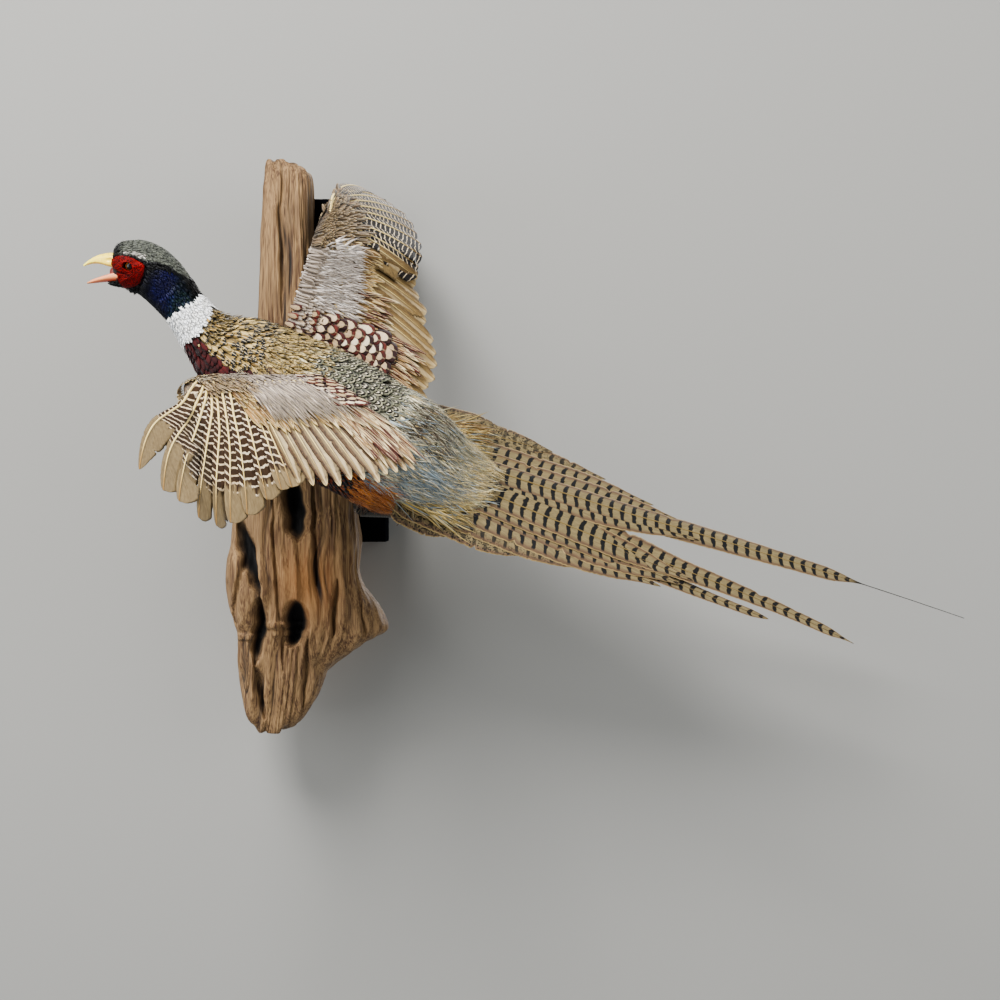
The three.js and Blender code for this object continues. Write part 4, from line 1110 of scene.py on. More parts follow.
def build_driftwood():
    """Rounded-box rings down the log, resampled evenly round each ring and drawn outwards or inwards by
    the grain: long ridges that bend round the knots, crevices, chips and a burl."""
    rows, columns = 330, 280
    z, left, right, face = smooth_curve(WOOD_LEVELS, np.linspace(0, 1, rows)).T
    centre_x, half_x = (left + right)[:, None] / 2, (right - left)[:, None] / 2
    centre_y, half_y = (face + WOOD_REAR)[:, None] / 2, (WOOD_REAR - face)[:, None] / 2
    dense = np.linspace(0, 2 * np.pi, 720, endpoint=False) + np.pi / 2
    squared = lambda value: np.sign(value) * np.abs(value) ** WOOD_SQUARENESS
    x, y = centre_x + half_x * squared(np.cos(dense)), centre_y + half_y * squared(np.sin(dense))
    weight = np.where(y > WOOD_REAR - 3, 0.25, 1.0)
    step = np.hypot(np.diff(x, axis=1, append=x[:, :1]), np.diff(y, axis=1, append=y[:, :1])) * weight
    gone = np.cumsum(step, axis=1) - step
    ring_x, ring_y = np.empty((rows, columns)), np.empty((rows, columns))
    for i in range(rows):
        spots = np.linspace(0, gone[i, -1] + step[i, -1], columns, endpoint=False)
        ring_x[i], ring_y[i] = np.interp(spots, gone[i], x[i]), np.interp(spots, gone[i], y[i])
    height = np.repeat(z[:, None], columns, 1)
    front = np.clip((centre_y - ring_y) / half_y, 0, 1)
    outwards = np.clip((WOOD_REAR - ring_y) / 6, 0, 1)
    # knots bend the grain: x, z, radius, rise of the knot
    knots = [(-20, -205, 11, 5), (-62, -245, 6, -4), (-4, -290, 6, -5), (-45, 150, 5, 2), (10, -150, 8, 3)]
    side = ring_x + 0.55 * (ring_y + 80)
    flow = side.copy()
    bulge = np.zeros_like(side)
    for knot_x, knot_z, radius, rise in knots:
        off = ring_x - knot_x
        near = np.exp(-((off / (2 * radius)) ** 2) - ((height - knot_z) / (3.2 * radius)) ** 2)
        flow += 0.9 * radius * near * np.tanh(off / radius)
        bulge += rise * np.exp(-((off / radius) ** 2) - ((height - knot_z) / (1.5 * radius)) ** 2)
    flow += 9 * (soft_noise(height / 55, side / 60, 4) - 0.5)
    coarse = soft_noise(flow / 6.5, height / 120, 1)
    middle = soft_noise(flow / 2.6, height / 60, 2)
    fine = soft_noise(flow / 1.1, height / 26, 3)
    low_share = rise_between(-height, 60, 190)
    ridges = (coarse - 0.5) * lerp(2.4, 6.5, low_share) + (middle - 0.5) * lerp(1.6, 3.2, low_share) + (
        fine - 0.5) * 1.6
    lumps = (soft_noise(side / 24, height / 34, 7) - 0.5) * 7 * low_share
    crevices = np.zeros_like(side)
    # crevices: top and foot (x, z), width, depth
    for (x0, z0), (x1, z1), wide, deep in (
            ((-82, -145), (-60, -222), 7, 26), ((-60, -222), (-66, -290), 6, 22),
            ((-66, -285), (-58, -345), 3.5, 12), ((-30, -105), (-22, -170), 10, 26),
            ((-42, 196), (-40, 40), 2.2, 5), ((-24, -225), (-30, -272), 9, 30),
            ((16, -205), (10, -263), 3, 10), ((-8, -110), (-4, -215), 2.4, 8),
            ((-48, -120), (-38, -300), 2.2, 7), ((30, -190), (40, -262), 3, 8),
            ((-75, -180), (-86, -262), 2.6, 8), ((-14, -262), (-20, -330), 3, 9)):
        fall = (z0 - height) / (z0 - z1)
        wander = 3.5 * (soft_noise(height / 14, 0 * height, 11) - 0.5)
        spindle = np.sqrt(np.clip(4 * fall * (1 - fall), 0, 1))
        ragged = 0.75 + 0.5 * soft_noise(height / 9, ring_x / 30, 12)
        off = ring_x - lerp(x0, x1, np.clip(fall, 0, 1)) - wander
        off /= wide * np.maximum(spindle, 0.12) * ragged
        crevices += deep * np.exp(-np.abs(off) ** 2.6) * spindle
    inwards = np.minimum(crevices, 34) * front
    # chips: x, z, length, drop
    for chip_x, chip_z, long, drop in ((-77, -262, 14, 4), (-38, -250, 20, 5), (-30, -258, 16, 4)):
        box = np.exp(-((ring_x - chip_x) / long) ** 4 - ((height - chip_z) / 3.2) ** 4)
        inwards -= drop * box * front
    away = unit(np.stack([(ring_x - centre_x) / half_x, (ring_y - centre_y) / half_y], -1))
    push = (ridges + bulge + lumps - 1.5) * outwards
    ring_x += away[..., 0] * push
    ring_y += away[..., 1] * push * front + inwards
    ring_y = np.minimum(ring_y, WOOD_REAR)
    ragged_top = 5 * (soft_noise(flow / 5, 0 * flow, 21) - 0.6) * rise_between(height, 150, 203)
    ragged_foot = 9 * (soft_noise(flow / 7, 0 * flow, 23) - 0.4) * rise_between(-height, 300, 357)
    level = np.clip(height + ragged_top - ragged_foot, -357, 203)
    caps = [[centre_x[k, 0], centre_y[k, 0], z[k]] for k in (0, -1)]
    points = np.concatenate([np.stack([ring_x, ring_y, level], -1).reshape(-1, 3), caps]) * MM
    total = rows * columns
    j = np.arange(columns)
    top_fan = np.stack([j, (j + 1) % columns, np.full(columns, total)], -1)
    foot_fan = np.stack([(j + 1) % columns, j, np.full(columns, total + 1)], -1) + (
        np.array([1, 1, 0]) * (rows - 1) * columns)
    quads = grid_faces(rows, columns, around=True)
    corners = np.concatenate([quads.reshape(-1), top_fan.reshape(-1), foot_fan.reshape(-1)])
    starts = np.concatenate([np.arange(len(quads)) * 4, len(quads) * 4 + np.arange(2 * columns) * 3])
    warm = np.exp(-((ring_x + 12) / 26) ** 2 - ((height + 210) / 34) ** 2)
    # ridge height and crevice depth, which the finish turns into painted shade, and the warm stain
    flow_tone = np.stack([0.5 * coarse + 0.3 * middle + 0.2 * fine, np.clip(inwards / 26, 0, 1), warm], -1)
    flow_tone = np.concatenate([flow_tone.reshape(-1, 3), [[0.5, 0, 0], [0.3, 0, 0]]])
    piece = add_mesh("driftwood_log", points, corners, starts, FINISH["wood"], colours={"flow": flow_tone})
    fit_out(make_outward(piece), "driftwood", "driftwood")


# ---------------------------------------------------------------- bill, eyes and wattles

# Each row: distance along -X, top, bottom and half width.
UPPER_BILL = np.array([
    [-164, 88.6, 73.2, 7.9], [-171.5, 88.6, 73.6, 7], [-177, 88.2, 75, 6.3], [-183, 87, 77.4, 5.2],
    [-188.5, 84.8, 78.4, 4], [-193.5, 81.8, 77.9, 2.7], [-198, 78.3, 76.3, 0.9],
])
LOWER_BILL = np.array([
    [-164, 72.6, 62.8, 6.6], [-171.5, 71.6, 62.8, 5.8], [-177, 69.6, 62.8, 5.3], [-183, 67.6, 62.4, 4.4],
    [-189, 65.3, 61.7, 3.3], [-194.8, 62.6, 61.2, 1.1],
])
BILL_Y = -218


def shade_of(values):
    """A stored tone with one value for each point."""
    return np.stack([values, 0 * values, 0 * values], -1)


def build_bill(name, table, finish, upper):
    """Sections along the bill: a rounded ridge on the outer side and a flatter palate with a raised
    cutting edge on the inner side; the upper one has a nostril pit under a horn flap on each side."""
    rows, columns = 60, 48
    x, top, bottom, wide = smooth_curve(table, np.linspace(0, 1, rows)).T
    angle = np.linspace(0, 2 * np.pi, columns, endpoint=False)
    cosine, sine = np.cos(angle)[None, :], np.sin(angle)[None, :]
    outer_side = sine > 0 if upper else sine < 0
    across = np.sign(cosine) * np.abs(cosine) ** np.where(outer_side, 0.85, 0.45)
    middle, half = (top + bottom)[:, None] / 2, (top - bottom)[:, None] / 2
    hollow = np.where(outer_side, 0, 0.45 * half * np.clip(1 - np.abs(cosine) * 1.15, 0, 1))
    z = middle + half * sine + (hollow if upper else -hollow)
    y = BILL_Y + wide[:, None] * across * np.where(outer_side, 1 - 0.18 * np.abs(sine) ** 3, 1)
    points = np.stack(np.broadcast_arrays(x[:, None], y, z), -1)
    if upper:
        pit = np.exp(-((points[..., 0] + 173.5) / 3.0) ** 2 - ((points[..., 2] - 81.4) / 1.3) ** 2)
        flap = np.exp(-((points[..., 0] + 173.2) / 3.6) ** 2 - ((points[..., 2] - 83.4) / 1.3) ** 2)
        points[..., 1] -= np.sign(points[..., 1] - BILL_Y) * (1.5 * pit - 0.7 * flap)
    share = np.clip((points[..., 0] + 172) / -26, 0, 1)
    shade = np.clip(share * 0.6 + (0.35 if upper else np.abs(cosine) ** 6), 0, 1)
    piece = add_mesh(name, points * MM, *tube_faces(rows, columns), FINISH[finish],
                     colours={"shade": shade_of(shade)})
    fit_out(make_outward(piece), "bill_horn", "upper_bill" if upper else "lower_bill")


def ball(rows, columns):
    """Unit directions over a sphere, from one pole to the other along the first axis."""
    polar = np.linspace(0, np.pi, rows)[:, None]
    turn = np.linspace(0, 2 * np.pi, columns, endpoint=False)[None, :]
    return np.stack(np.broadcast_arrays(np.cos(polar), np.sin(polar) * np.cos(turn),
                                        np.sin(polar) * np.sin(turn)), -1)


def build_eye(side, sign):
    """A ball with a clearer bulge over the iris; the pupil's axis looks outwards."""
    centre, along, back, right, _ = body_at(EYE["station"])
    centre = centre + right * (sign * EYE["across"]) + back * EYE["back"]
    axis = unit(right * sign - along * 0.12)
    side_axis = unit(np.cross(axis, back))
    top_axis = np.cross(side_axis, axis)
    rows, columns = 48, 48
    way = ball(rows, columns)
    bulge = 1 + 0.1 * rise_between(way[..., 0], 0.55, 0.95)
    radius = EYE["radius"] * bulge
    points = centre + (way @ np.stack([axis, side_axis, top_axis])) * radius[..., None]
    ring = np.stack([np.arccos(np.clip(way[..., 0], -1, 1)) / (np.pi / 2), way[..., 1] / 2 + 0.5,
                     way[..., 2] / 2 + 0.5], -1)
    piece = add_mesh(f"{side}_glass_eye", points * MM, *faces_of(grid_faces(rows, columns, around=True)),
                     FINISH["eye"], colours={"ring": ring})
    fit_out(weld(piece), "eye_glass", f"{side}_eye")


def wattle_reach(turn):
    """Reach of the wattle's rim at an angle from tailwards round over the top, in millimetres."""
    angles = np.arctan2(WATTLE_RIM[:, 1], WATTLE_RIM[:, 0])
    return np.interp(turn, angles, np.hypot(*WATTLE_RIM.T), period=2 * np.pi)


def head_side(x, height, out, sign):
    """Point on the side of the head at a place along X and a height over the spine, moved outwards. The
    side is the half ellipse of the body's section there."""
    centre, _, back, right, sizes = body_at(station_at(x))
    reach = np.where(height > 0, sizes[..., 1], sizes[..., 2])
    wide = sizes[..., 0] * np.sqrt(np.clip(1 - (height / reach) ** 2, 0.02, 1))
    point = centre + back * height[..., None] + right * (sign * (wide + out))[..., None]
    point[..., 0] = x
    return point


def build_wattle(side, sign):
    """Granular bare skin on the side of the head: a cushion of 1-s^4 over the shape of the rim, covered
    with papillae in staggered rows and soft folds, with two lids as a raised ring about the eye. The lower
    sheet is sunk into the head and both sheets close along the rim."""
    rows, columns = 110, 220
    share = np.linspace(0, 1, rows)[:, None] ** 0.8
    turn = np.linspace(-np.pi, np.pi, columns, endpoint=False)[None, :]
    edge = wattle_reach(turn)
    for _ in range(6):
        edge = (np.roll(edge, 1, 1) + 2 * edge + np.roll(edge, -1, 1)) / 4
    edge = edge + 0.5 * (soft_noise(turn * 9, 0 * turn, 3) - 0.5)
    a, b = np.broadcast_arrays(np.cos(turn) * edge * share, np.sin(turn) * edge * share)
    middle_x, middle_h = WATTLE["middle"]
    rng = np.random.default_rng(5)
    pitch = 1.3
    cells = np.stack(np.meshgrid(np.arange(-19, 19, pitch), np.arange(-19, 19, pitch * 0.87)), -1)
    cells[1::2, :, 0] += pitch / 2
    cells = cells.reshape(-1, 2) + rng.uniform(-0.3, 0.3, (cells.size // 2, 2))
    tree = tree_of(np.pad(cells, ((0, 0), (0, 1))))
    near = np.array([tree.find((p, q, 0))[2] for p, q in zip(a.reshape(-1), b.reshape(-1))]).reshape(a.shape)
    grain = np.clip(1 - (near / (pitch * 0.62)) ** 2, 0, 1)
    folds = 0.5 + 0.5 * np.sin(0.55 * (a - 0.8 * b) + 1.5 * np.sin(0.4 * b))
    eye_x, eye_h = body_at(EYE["station"])[0][0] - middle_x, EYE["back"] - middle_h
    gap = np.hypot(a - eye_x, (b - eye_h) * 1.15)
    lid = np.exp(-((gap - 5.0) / 0.8) ** 2)
    around, low = rise_between(gap, 5.4, 6.6), rise_between(gap, 3.4, 4.8)
    crease = np.exp(-((b + 3.5 + 0.25 * a) / 0.9) ** 2) * rise_between(-a, -2, 4)
    out = (WATTLE["thick"] * (1 - share**4) + 0.75 * grain * around * (1 - share**8)
           + 0.9 * (folds - 0.5) * around * (1 - share**4) + lid - 3.4 * (1 - low) - 1.2 * crease * around)
    x, height = middle_x + a, middle_h + b
    upper = head_side(x, height, out, sign)
    lower = head_side(x, height, np.full_like(out, -WATTLE["sunk"]), sign)
    points = np.concatenate([upper, lower[::-1]])
    orange = np.exp(-((a - 13) / 4.5) ** 2 - ((b - 10) / 4.5) ** 2) + 0.6 * lid * (b > eye_h)
    # painted shade: dark between the papillae, in the sunk hollow about the eye and in the crease; brightest on
    # the papillae's crowns
    tone = np.stack([np.clip(0.2 + 0.8 * grain, 0, 1) * np.clip(0.25 + low, 0, 1) * (1 - 0.5 * crease),
                     np.clip(orange, 0, 1), 0 * a], -1)
    faces = faces_of(grid_faces(2 * rows, columns, around=True))
    piece = add_mesh(f"{side}_wattle_skin", points * MM, *faces, FINISH["wattle"],
                     colours={"grain": np.concatenate([tone, tone[::-1]])})
    fit_out(weld(piece), "bare_skin", f"{side}_wattle")


def build_mouth():
    """Dark fleshy lining seen between the two halves of the bill: half an egg sunk into the head."""
    way = ball(24, 32)
    points = np.array([-167.5, BILL_Y, 71.6]) + way * np.array([7.5, 4.9, 5.6])
    piece = add_mesh("mouth_lining", points * MM, *faces_of(grid_faces(24, 32, around=True)), FINISH["mouth"])
    fit_out(weld(piece), "bare_skin")


# ---------------------------------------------------------------- legs

SHANK_RADII, TOE_RADII = [4.3, 3.4, 4.3], [2.7, 2.2, 1.5]
# Toes from the heel: share of the way to the longest tip, spread sideways, and dip of the tip.
TOES = [(1.0, 0, 0), (0.84, 5.5, 0.5), (0.8, -5.5, 0.5), (-0.3, 2.0, 2.5)]


def ringed(middle, reach, turn, aside):
    """Rings about a curve: each point stands off it by its reach, at its turn from the direction that is
    square to the curve and to the one aside."""
    along = unit(np.gradient(middle, axis=0))
    across = unit(np.cross(along, aside))
    top = np.cross(across, along)
    return (middle[:, None] + reach[..., None] * (np.cos(turn)[..., None] * across[:, None]
                                                  + np.sin(turn)[..., None] * top[:, None])).reshape(-1, 3)


def ringed_tube(middle, radii, sides, plates):
    """Closed tube whose radius carries cross plates on its upper side and small round scales below. Also
    gives a shade for each point, 0 in the joints between plates."""
    turn = np.linspace(0, 2 * np.pi, sides, endpoint=False)[None, :]
    place = np.linspace(0, plates, len(middle))[:, None]
    front = rise_between(np.sin(turn), -0.1, 0.25)
    plate = 1 - np.abs(2 * ((place + 0.12 * np.cos(turn)) % 1) - 1) ** 5
    pebble = np.abs(np.sin(np.pi * place * 1.6) * np.sin(3.5 * turn))
    shade = lerp(pebble, plate, front)
    points = ringed(middle, radii[:, None] * (1 + 0.1 * (shade - 1)), turn, [0.0, 1.0, 0.0]) * MM
    return (points, *tube_faces(len(middle), sides)), shade.reshape(-1)


def fit_tubes(name, tubes, finish, *nodes):
    """Joins tubes in one piece with their shades stored, and fits it to its nodes."""
    bodies, shades = zip(*tubes)
    piece = add_mesh(name, *joined(bodies), FINISH[finish],
                     colours={"shade": shade_of(np.concatenate(shades))})
    fit_out(make_outward(piece), "leg_scale", *nodes)


def build_leg(side):
    """Scaled shank from the ankle to the heel, three long toes folded back beside one another and a short
    hind toe, with claws and a spur of horn."""
    leg = {key: np.array(value, float) for key, value in LEGS[side].items()}
    u = np.linspace(0, 1, 120)
    middle = lerp(leg["ankle"], leg["foot"], u[:, None])
    shank = ringed_tube(middle, through(SHANK_RADII, u, 0, 1), 40, 17)
    fit_tubes(f"{side}_scaled_shank", [shank], "scales", f"{side}_shank")
    reach = leg["toes"] - leg["foot"]
    along = unit(reach)
    across = unit(np.cross([0.0, 0.0, 1.0], along))
    down = np.cross(across, along) * -np.sign(np.cross(across, along)[2])
    toes, claws, v, w = [], [], np.linspace(0, 1, 70), np.linspace(0, 1, 24)
    for share, spread, dip in TOES:
        end = leg["foot"] + reach * 0.82 * share + across * spread + down * dip
        bend = (leg["foot"] + end) / 2 + across * spread * 0.7 - down * 1.5
        line = smooth_curve([leg["foot"], bend, end], v)
        pads = 1 + 0.1 * np.abs(np.sin(np.pi * 3 * v))
        toes.append(ringed_tube(line, through(TOE_RADII, v, 0, 1) * pads, 24, 14 * max(abs(share), 0.4)))
        claw = end + unit(end - bend) * (9 * w - 1.5)[:, None] + down * (3.0 * w**2)[:, None]
        claws.append(ringed_tube(claw, lerp(1.35, 0.15, w**1.3), 16, 0.5))
    heel = lerp(leg["ankle"], leg["foot"], 0.62)
    spur = heel + down * (3 + 8 * w)[:, None] - along * (2.5 * w**2)[:, None]
    claws.append(ringed_tube(spur, lerp(2.3, 0.25, w), 20, 0.5))
    fit_tubes(f"{side}_folded_toes", toes, "scales", f"{side}_foot")
    fit_tubes(f"{side}_claws_and_spur", claws, "claw")


# ---------------------------------------------------------------- skin


SKIN_INSET = ([0, 1, 3, 5, 8, 10, 12, 14.5, 16, 17], [1.2, 1.3, 1.8, 2.2, 3.2, 5, 5.5, 6, 10, 5])
SKIN_VOXEL = 0.0021


def thigh_line(side):
    """Hip, the place half way, and ankle."""
    hip, ankle = (np.array(LEGS[side][key], float) for key in ("hip", "ankle"))
    return np.array([hip, (hip + ankle) / 2, ankle])


def build_skin():
    """One closed skin: the body's rings drawn in by the coat's depth, both arms, the webs and the thighs,
    joined by a fine even remesh and smoothed. Each point takes the colour of the nearest feathers."""
    stations = np.concatenate([np.linspace(0.2, 4, 60), np.linspace(4.1, LAST_STATION - 0.1, 110)])
    sides = 72
    rings = body_surface(stations[:, None], np.linspace(-180, 180, sides, endpoint=False)[None, :])
    centre = body_at(stations)[0] * MM
    away = rings - centre[:, None]
    size = np.linalg.norm(away, axis=-1, keepdims=True)
    least = np.interp(stations, [14.5, 16], [0.3, 0.1])[:, None, None] * size
    rings = centre[:, None] + away * np.maximum(size - coat_depth(stations)[:, None, None], least) / size
    parts = [(rings.reshape(-1, 3), *tube_faces(len(stations), sides))]
    for side in ("left", "right"):
        upper = wing_axes(side)[0]
        t = np.linspace(0.01, 0.27, 24)[:, None]
        half = upper * ((np.interp(t, *ARM_SKIN) + 0.3) * MM)[..., None]
        sheet = wing_surface(side)(t, np.linspace(0.1, 25, 90)[None, :])
        parts.append(slab(sheet + half, sheet - half))
        sheet = web_surface(side)(np.linspace(0, 1, 12)[:, None], np.linspace(-0.1, 1, 14)[None, :])
        parts.append(slab(sheet - upper * 0.003, sheet - upper * 0.009))
        u = np.linspace(0, 1, 20)
        radii = np.maximum(through(THIGH_RADII, u, 0, 1) - 3.5, 2.5)
        turn = np.linspace(0, 2 * np.pi, 24, endpoint=False)[None, :]
        thigh = ringed(smooth_curve(thigh_line(side), u), radii[:, None], turn, [0.1, 1.0, 0.2])
        parts.append((thigh * MM, *tube_faces(20, 24)))
    rough = add_mesh("skin_parts", *joined(parts), FINISH["skin"])
    remesh = rough.modifiers.new("even", "REMESH")
    remesh.mode, remesh.voxel_size = "VOXEL", SKIN_VOXEL
    soften = rough.modifiers.new("soft", "SMOOTH")
    soften.factor, soften.iterations = 0.5, 4
    shaped = bpy.data.meshes.new_from_object(rough.evaluated_get(bpy.context.evaluated_depsgraph_get()))
    bpy.data.objects.remove(rough)
    shaped.name = "pheasant_skin"
    shaped.polygons.foreach_set("use_smooth", np.ones(len(shaped.polygons), bool))
    places = np.empty(len(shaped.vertices) * 3)
    shaped.vertices.foreach_get("co", places)
    spots, tints = (np.concatenate(column) for column in zip(*SKIN_SPOTS))
    tree = tree_of(spots)
    nearest = np.array([[hit[1] for hit in tree.find_n(place, 3)] for place in places.reshape(-1, 3)])
    colour_points(shaped, "tint", tints[nearest].mean(1))
    shaped.materials.clear()
    shaped.materials.append(FINISH["skin"])
    pairs = [f"{side}_{word}" for word in ("hand", "forearm", "scapulars", "thigh")
             for side in ("left", "right")]
    fit_out(place_piece("pheasant_skin", shaped), "dark_plumage", "head", "neck", "trunk", "rump", *pairs)


def slab(top, under):
    """A closed plate between two sheets of points of one shape."""
    return np.concatenate([top, under]).reshape(-1, 3), *slab_faces(*top.shape[:2])


def web_surface(side):
    """Saddle from over the wing to the back: across it, a smooth curve through the wing a little way
    out, the wing's inner edge, the flank of the back and the spine; along it, the lie tailwards."""
    wing, lifted = wing_surface(side), wing_axes(side)[0] * 2.5 * MM
    angles = {"left": (150, 100), "right": (30, 80)}[side]

    def surface(along, inward):
        along, inward = np.broadcast_arrays(np.asarray(along, float), np.asarray(inward, float))
        t = np.clip(along, -0.2, 1.6) * WEB["reach"]
        station = lerp(WEB["front"], WEB["rear"], along)
        controls = [*(wing(t, np.full_like(t, place)) + lifted for place in (19.0, 22.5)),
                    *(body_surface(station, np.full_like(t, angle)) for angle in angles)]
        return smooth_curve(controls, (inward + 1) / 2)

    return surface


# ---------------------------------------------------------------- the coat, tract by tract

FULL_TURN = (-180, 180)


def facing(surface, p, q, outwards):
    """1 where the surface's own normal already points outwards, otherwise -1."""
    here = surface(p, q)
    normal = np.cross(surface(p + PROBE, q) - here, surface(p, q + PROBE) - here)
    return 1 if (normal * outwards).sum() > 0 else -1


BODY_FLIP = facing(body_surface, 11.0, 90.0, [0.45, -0.42, 0.785])


def blend(a, b, share):
    """Colours a share of the way from a to b, with one share for each feather."""
    return lerp(a, b, np.asarray(share)[:, None])


def varied(colours, rng, amount):
    """Each feather a little lighter or darker than its neighbours."""
    return np.clip(colours * (1 + amount * rng.standard_normal((len(colours), 1))), 0, 1)


def picked(rng, count, codes, weights=None):
    """One of the colours for each feather."""
    return np.array([paint(code) for code in codes])[rng.choice(len(codes), count, p=weights)]


def dyed(rng, count, codes, amount, weights=None):
    """One of the colours for each feather, a little lighter or darker."""
    return varied(picked(rng, count, codes, weights), rng, amount)


def strewn(rng, count, length, width, high, turn, sway=0.0):
    """Sizes of a tract's feathers: even draws between two bounds in millimetres for the length, width
    and rise of the tip, and normal draws for the turn and the sideways bend."""
    lay = {key: rng.uniform(*bounds, count) * MM
           for key, bounds in (("length", length), ("width", width), ("high", high))}
    lay["turn"] = rng.normal(0, turn, count)
    if sway:
        lay["sway"] = rng.normal(0, sway, count) * MM
    return lay


def coat_depth(station):
    """Depth of the coat over the skin, in metres."""
    return np.interp(station, *SKIN_INSET) * MM


def body_angles(roots):
    """Degrees from the ridge of the back, 0 to 180, and which side: -1 left, 1 right."""
    turned = (roots[:, 1] + 90) % 360 - 180
    return np.abs(turned), np.where(turned > 0, -1, 1)


def crown_reach(station):
    """Degrees from the ridge of the back down to which the grey crown reaches."""
    return np.interp(station, [0.3, 1, 2, 2.5, 3, 3.4, 3.75, 4.2, 4.6, 4.9],
                     [66, 62, 64, 68, 64, 54, 43, 32, 22, 0])


def off_wattle(roots):
    """Share of the way from the wattle's middle to its rim, as seen from the side of the head."""
    angle = np.radians(roots[:, 1])
    place = body_surface(roots[:, 0], roots[:, 1]) / MM
    centre, _, back, right, sizes = body_at(station_at(place[:, 0]))
    sunk = np.abs(sizes[..., 0] * np.cos(angle)) * right[:, 2]
    height = (place[:, 2] - centre[:, 2] - np.sign(np.cos(angle)) * sunk) / back[:, 2]
    a, b = place[:, 0] - WATTLE["middle"][0], height - WATTLE["middle"][1]
    return np.hypot(a, b) / wattle_reach(np.arctan2(b, a))


def head_colour(roots, rng):
    """Black face, violet upper and teal lower neck, and a grey crown with a black border and pale brow."""
    station = roots[:, 0]
    off, _ = body_angles(roots)
    count = len(roots)
    violet = picked(rng, count, ("2f2680", "2a1f6c", "232a7c"))
    teal = picked(rng, count, ("105a64", "0d5f5c", "16506c"))
    black = picked(rng, count, ("0c0c12", "12111a", "0d1016"))
    glossy = blend(violet, teal, rise_between(station + 0.012 * (90 - off), 4.8, 5.7))
    middle = rise_between(station, 3.2, 4.2) * rise_between(off, 152, 112) * rise_between(off, 22, 58)
    middle = middle * (0.35 + 0.65 * soft_noise(station * 3, off / 16, 9))
    glossy = blend(black, glossy, np.clip(middle, 0, 1))
    reach = crown_reach(station) + rng.uniform(-2, 2, count)
    crown = picked(rng, count, ("8a8c84", "94968c", "80827a"))
    crown = blend(black, crown, rise_between(station + rng.uniform(-0.15, 0.15, count), 1.0, 1.5))
    crown = crown * (0.72 + 0.4 * soft_noise(station * 5, off / 5, 6))[:, None]
    colour = np.where((off < reach)[:, None], crown, glossy)
    band = (off >= reach) & (off < reach + 4 + 12 * rise_between(station, 2.9, 3.4)) & (station < 4.5)
    colour = np.where(band[:, None], black, colour)
    streak = (off > reach - 12) & (off < reach - 3) & (station > 1.5) & (station < 2.75)
    streak &= rng.random(count) < 0.9
    return np.where(streak[:, None], picked(rng, count, ("d4d2cc", "c4c1ba", "aeaba4")), colour)


def build_head_coat():
    """Short dense feathers in bands of the head, sparing the wattles, with a grey crown."""
    rng = np.random.default_rng(101)
    glossy = Coat("head_feathers", "glossy", "dark_plumage")
    crown = Coat("crown_feathers", "crown", "grey_plumage")
    # bands of the head: stations, spacing, length, width, rise off the skin
    bands = ((0.25, 1.4, 1.25, 3.2, 1.5, 0.1), (1.4, 3.0, 1.4, 4.2, 1.9, -0.5), (3.0, 4.9, 1.6, 6.0, 2.3, -0.3))
    for low, high, pace, long, wide, lift in bands:
        roots = spaced_roots(body_surface, (low, high), FULL_TURN, pace, pace, rng)
        roots = roots[(off_wattle(roots) > 0.98) & (off_wattle(roots + [long / 15, 0]) > 0.94)]
        off, _ = body_angles(roots)
        roots = roots[(roots[:, 0] > 0.9) | (off < 60) | (off > 122)]
        on_crown = body_angles(roots)[0] < crown_reach(roots[:, 0]) + 3
        for coat, chosen, shade, vary in ((glossy, roots[~on_crown], 0.5, 0.14),
                                          (crown, roots[on_crown], 0.7, 0.07)):
            count = len(chosen)
            tint = varied(head_colour(chosen, rng), rng, vary)
            brow = rise_between(chosen[:, 0], 1.5, 0.6) * 1.4 * rng.random(count) if coat is crown else 0
            coat.on_body(chosen, ((0, 4.6), FULL_TURN), tint, rim=tint * shade, zones=(0.75, 0.9, 0.0),
                         length=long * MM * rng.uniform(0.8, 1.25, count),
                         width=wide * MM * rng.uniform(0.8, 1.1, count), low=-coat_depth(chosen[:, 0]) * 1.02,
                         high=(lift + brow) * MM, outline="scale", turn=rng.normal(0, 0.12, count), arch=0.14)
    # the chin's black feathers under the lower bill, and the tuft at the root of the upper one
    for middle, reach, span, start, upright in ((62.8, 3.4, (180, 360), -177, -1.0),
                                                (80, 8.2, (28, 152), -173, 1.0)):
        def root_of_bill(p, q, middle=middle, reach=reach):
            p, q = np.broadcast_arrays(np.asarray(p, float), np.radians(q))
            wide = reach * (0.62 + 0.6 * rise_between(p, -178, -165))
            return np.stack([p, BILL_Y + wide * 0.95 * np.cos(q), middle + wide * np.sin(q)], -1) * MM
        roots = spaced_roots(root_of_bill, (start, -165), span, 1.2, 1.2, rng, 0.6)
        count = len(roots)
        flip = facing(root_of_bill, -170.0, sum(span) / 2, [0, 0, upright])
        tint = dyed(rng, count, ("0c0c12", "15141c"), 0.2)
        glossy.add(root_of_bill, roots, ((-178, -164), (0, 360)), tint, rim=tint * 0.6, zones=(0.8, 0.9, 0),
                   low=-0.4 * MM, outline="strand", arch=0.3, flip=flip,
                   **strewn(rng, count, (3, 5), (1.1, 1.7), (0.3, 1.3), 0.3))
    glossy.build()
    crown.build()


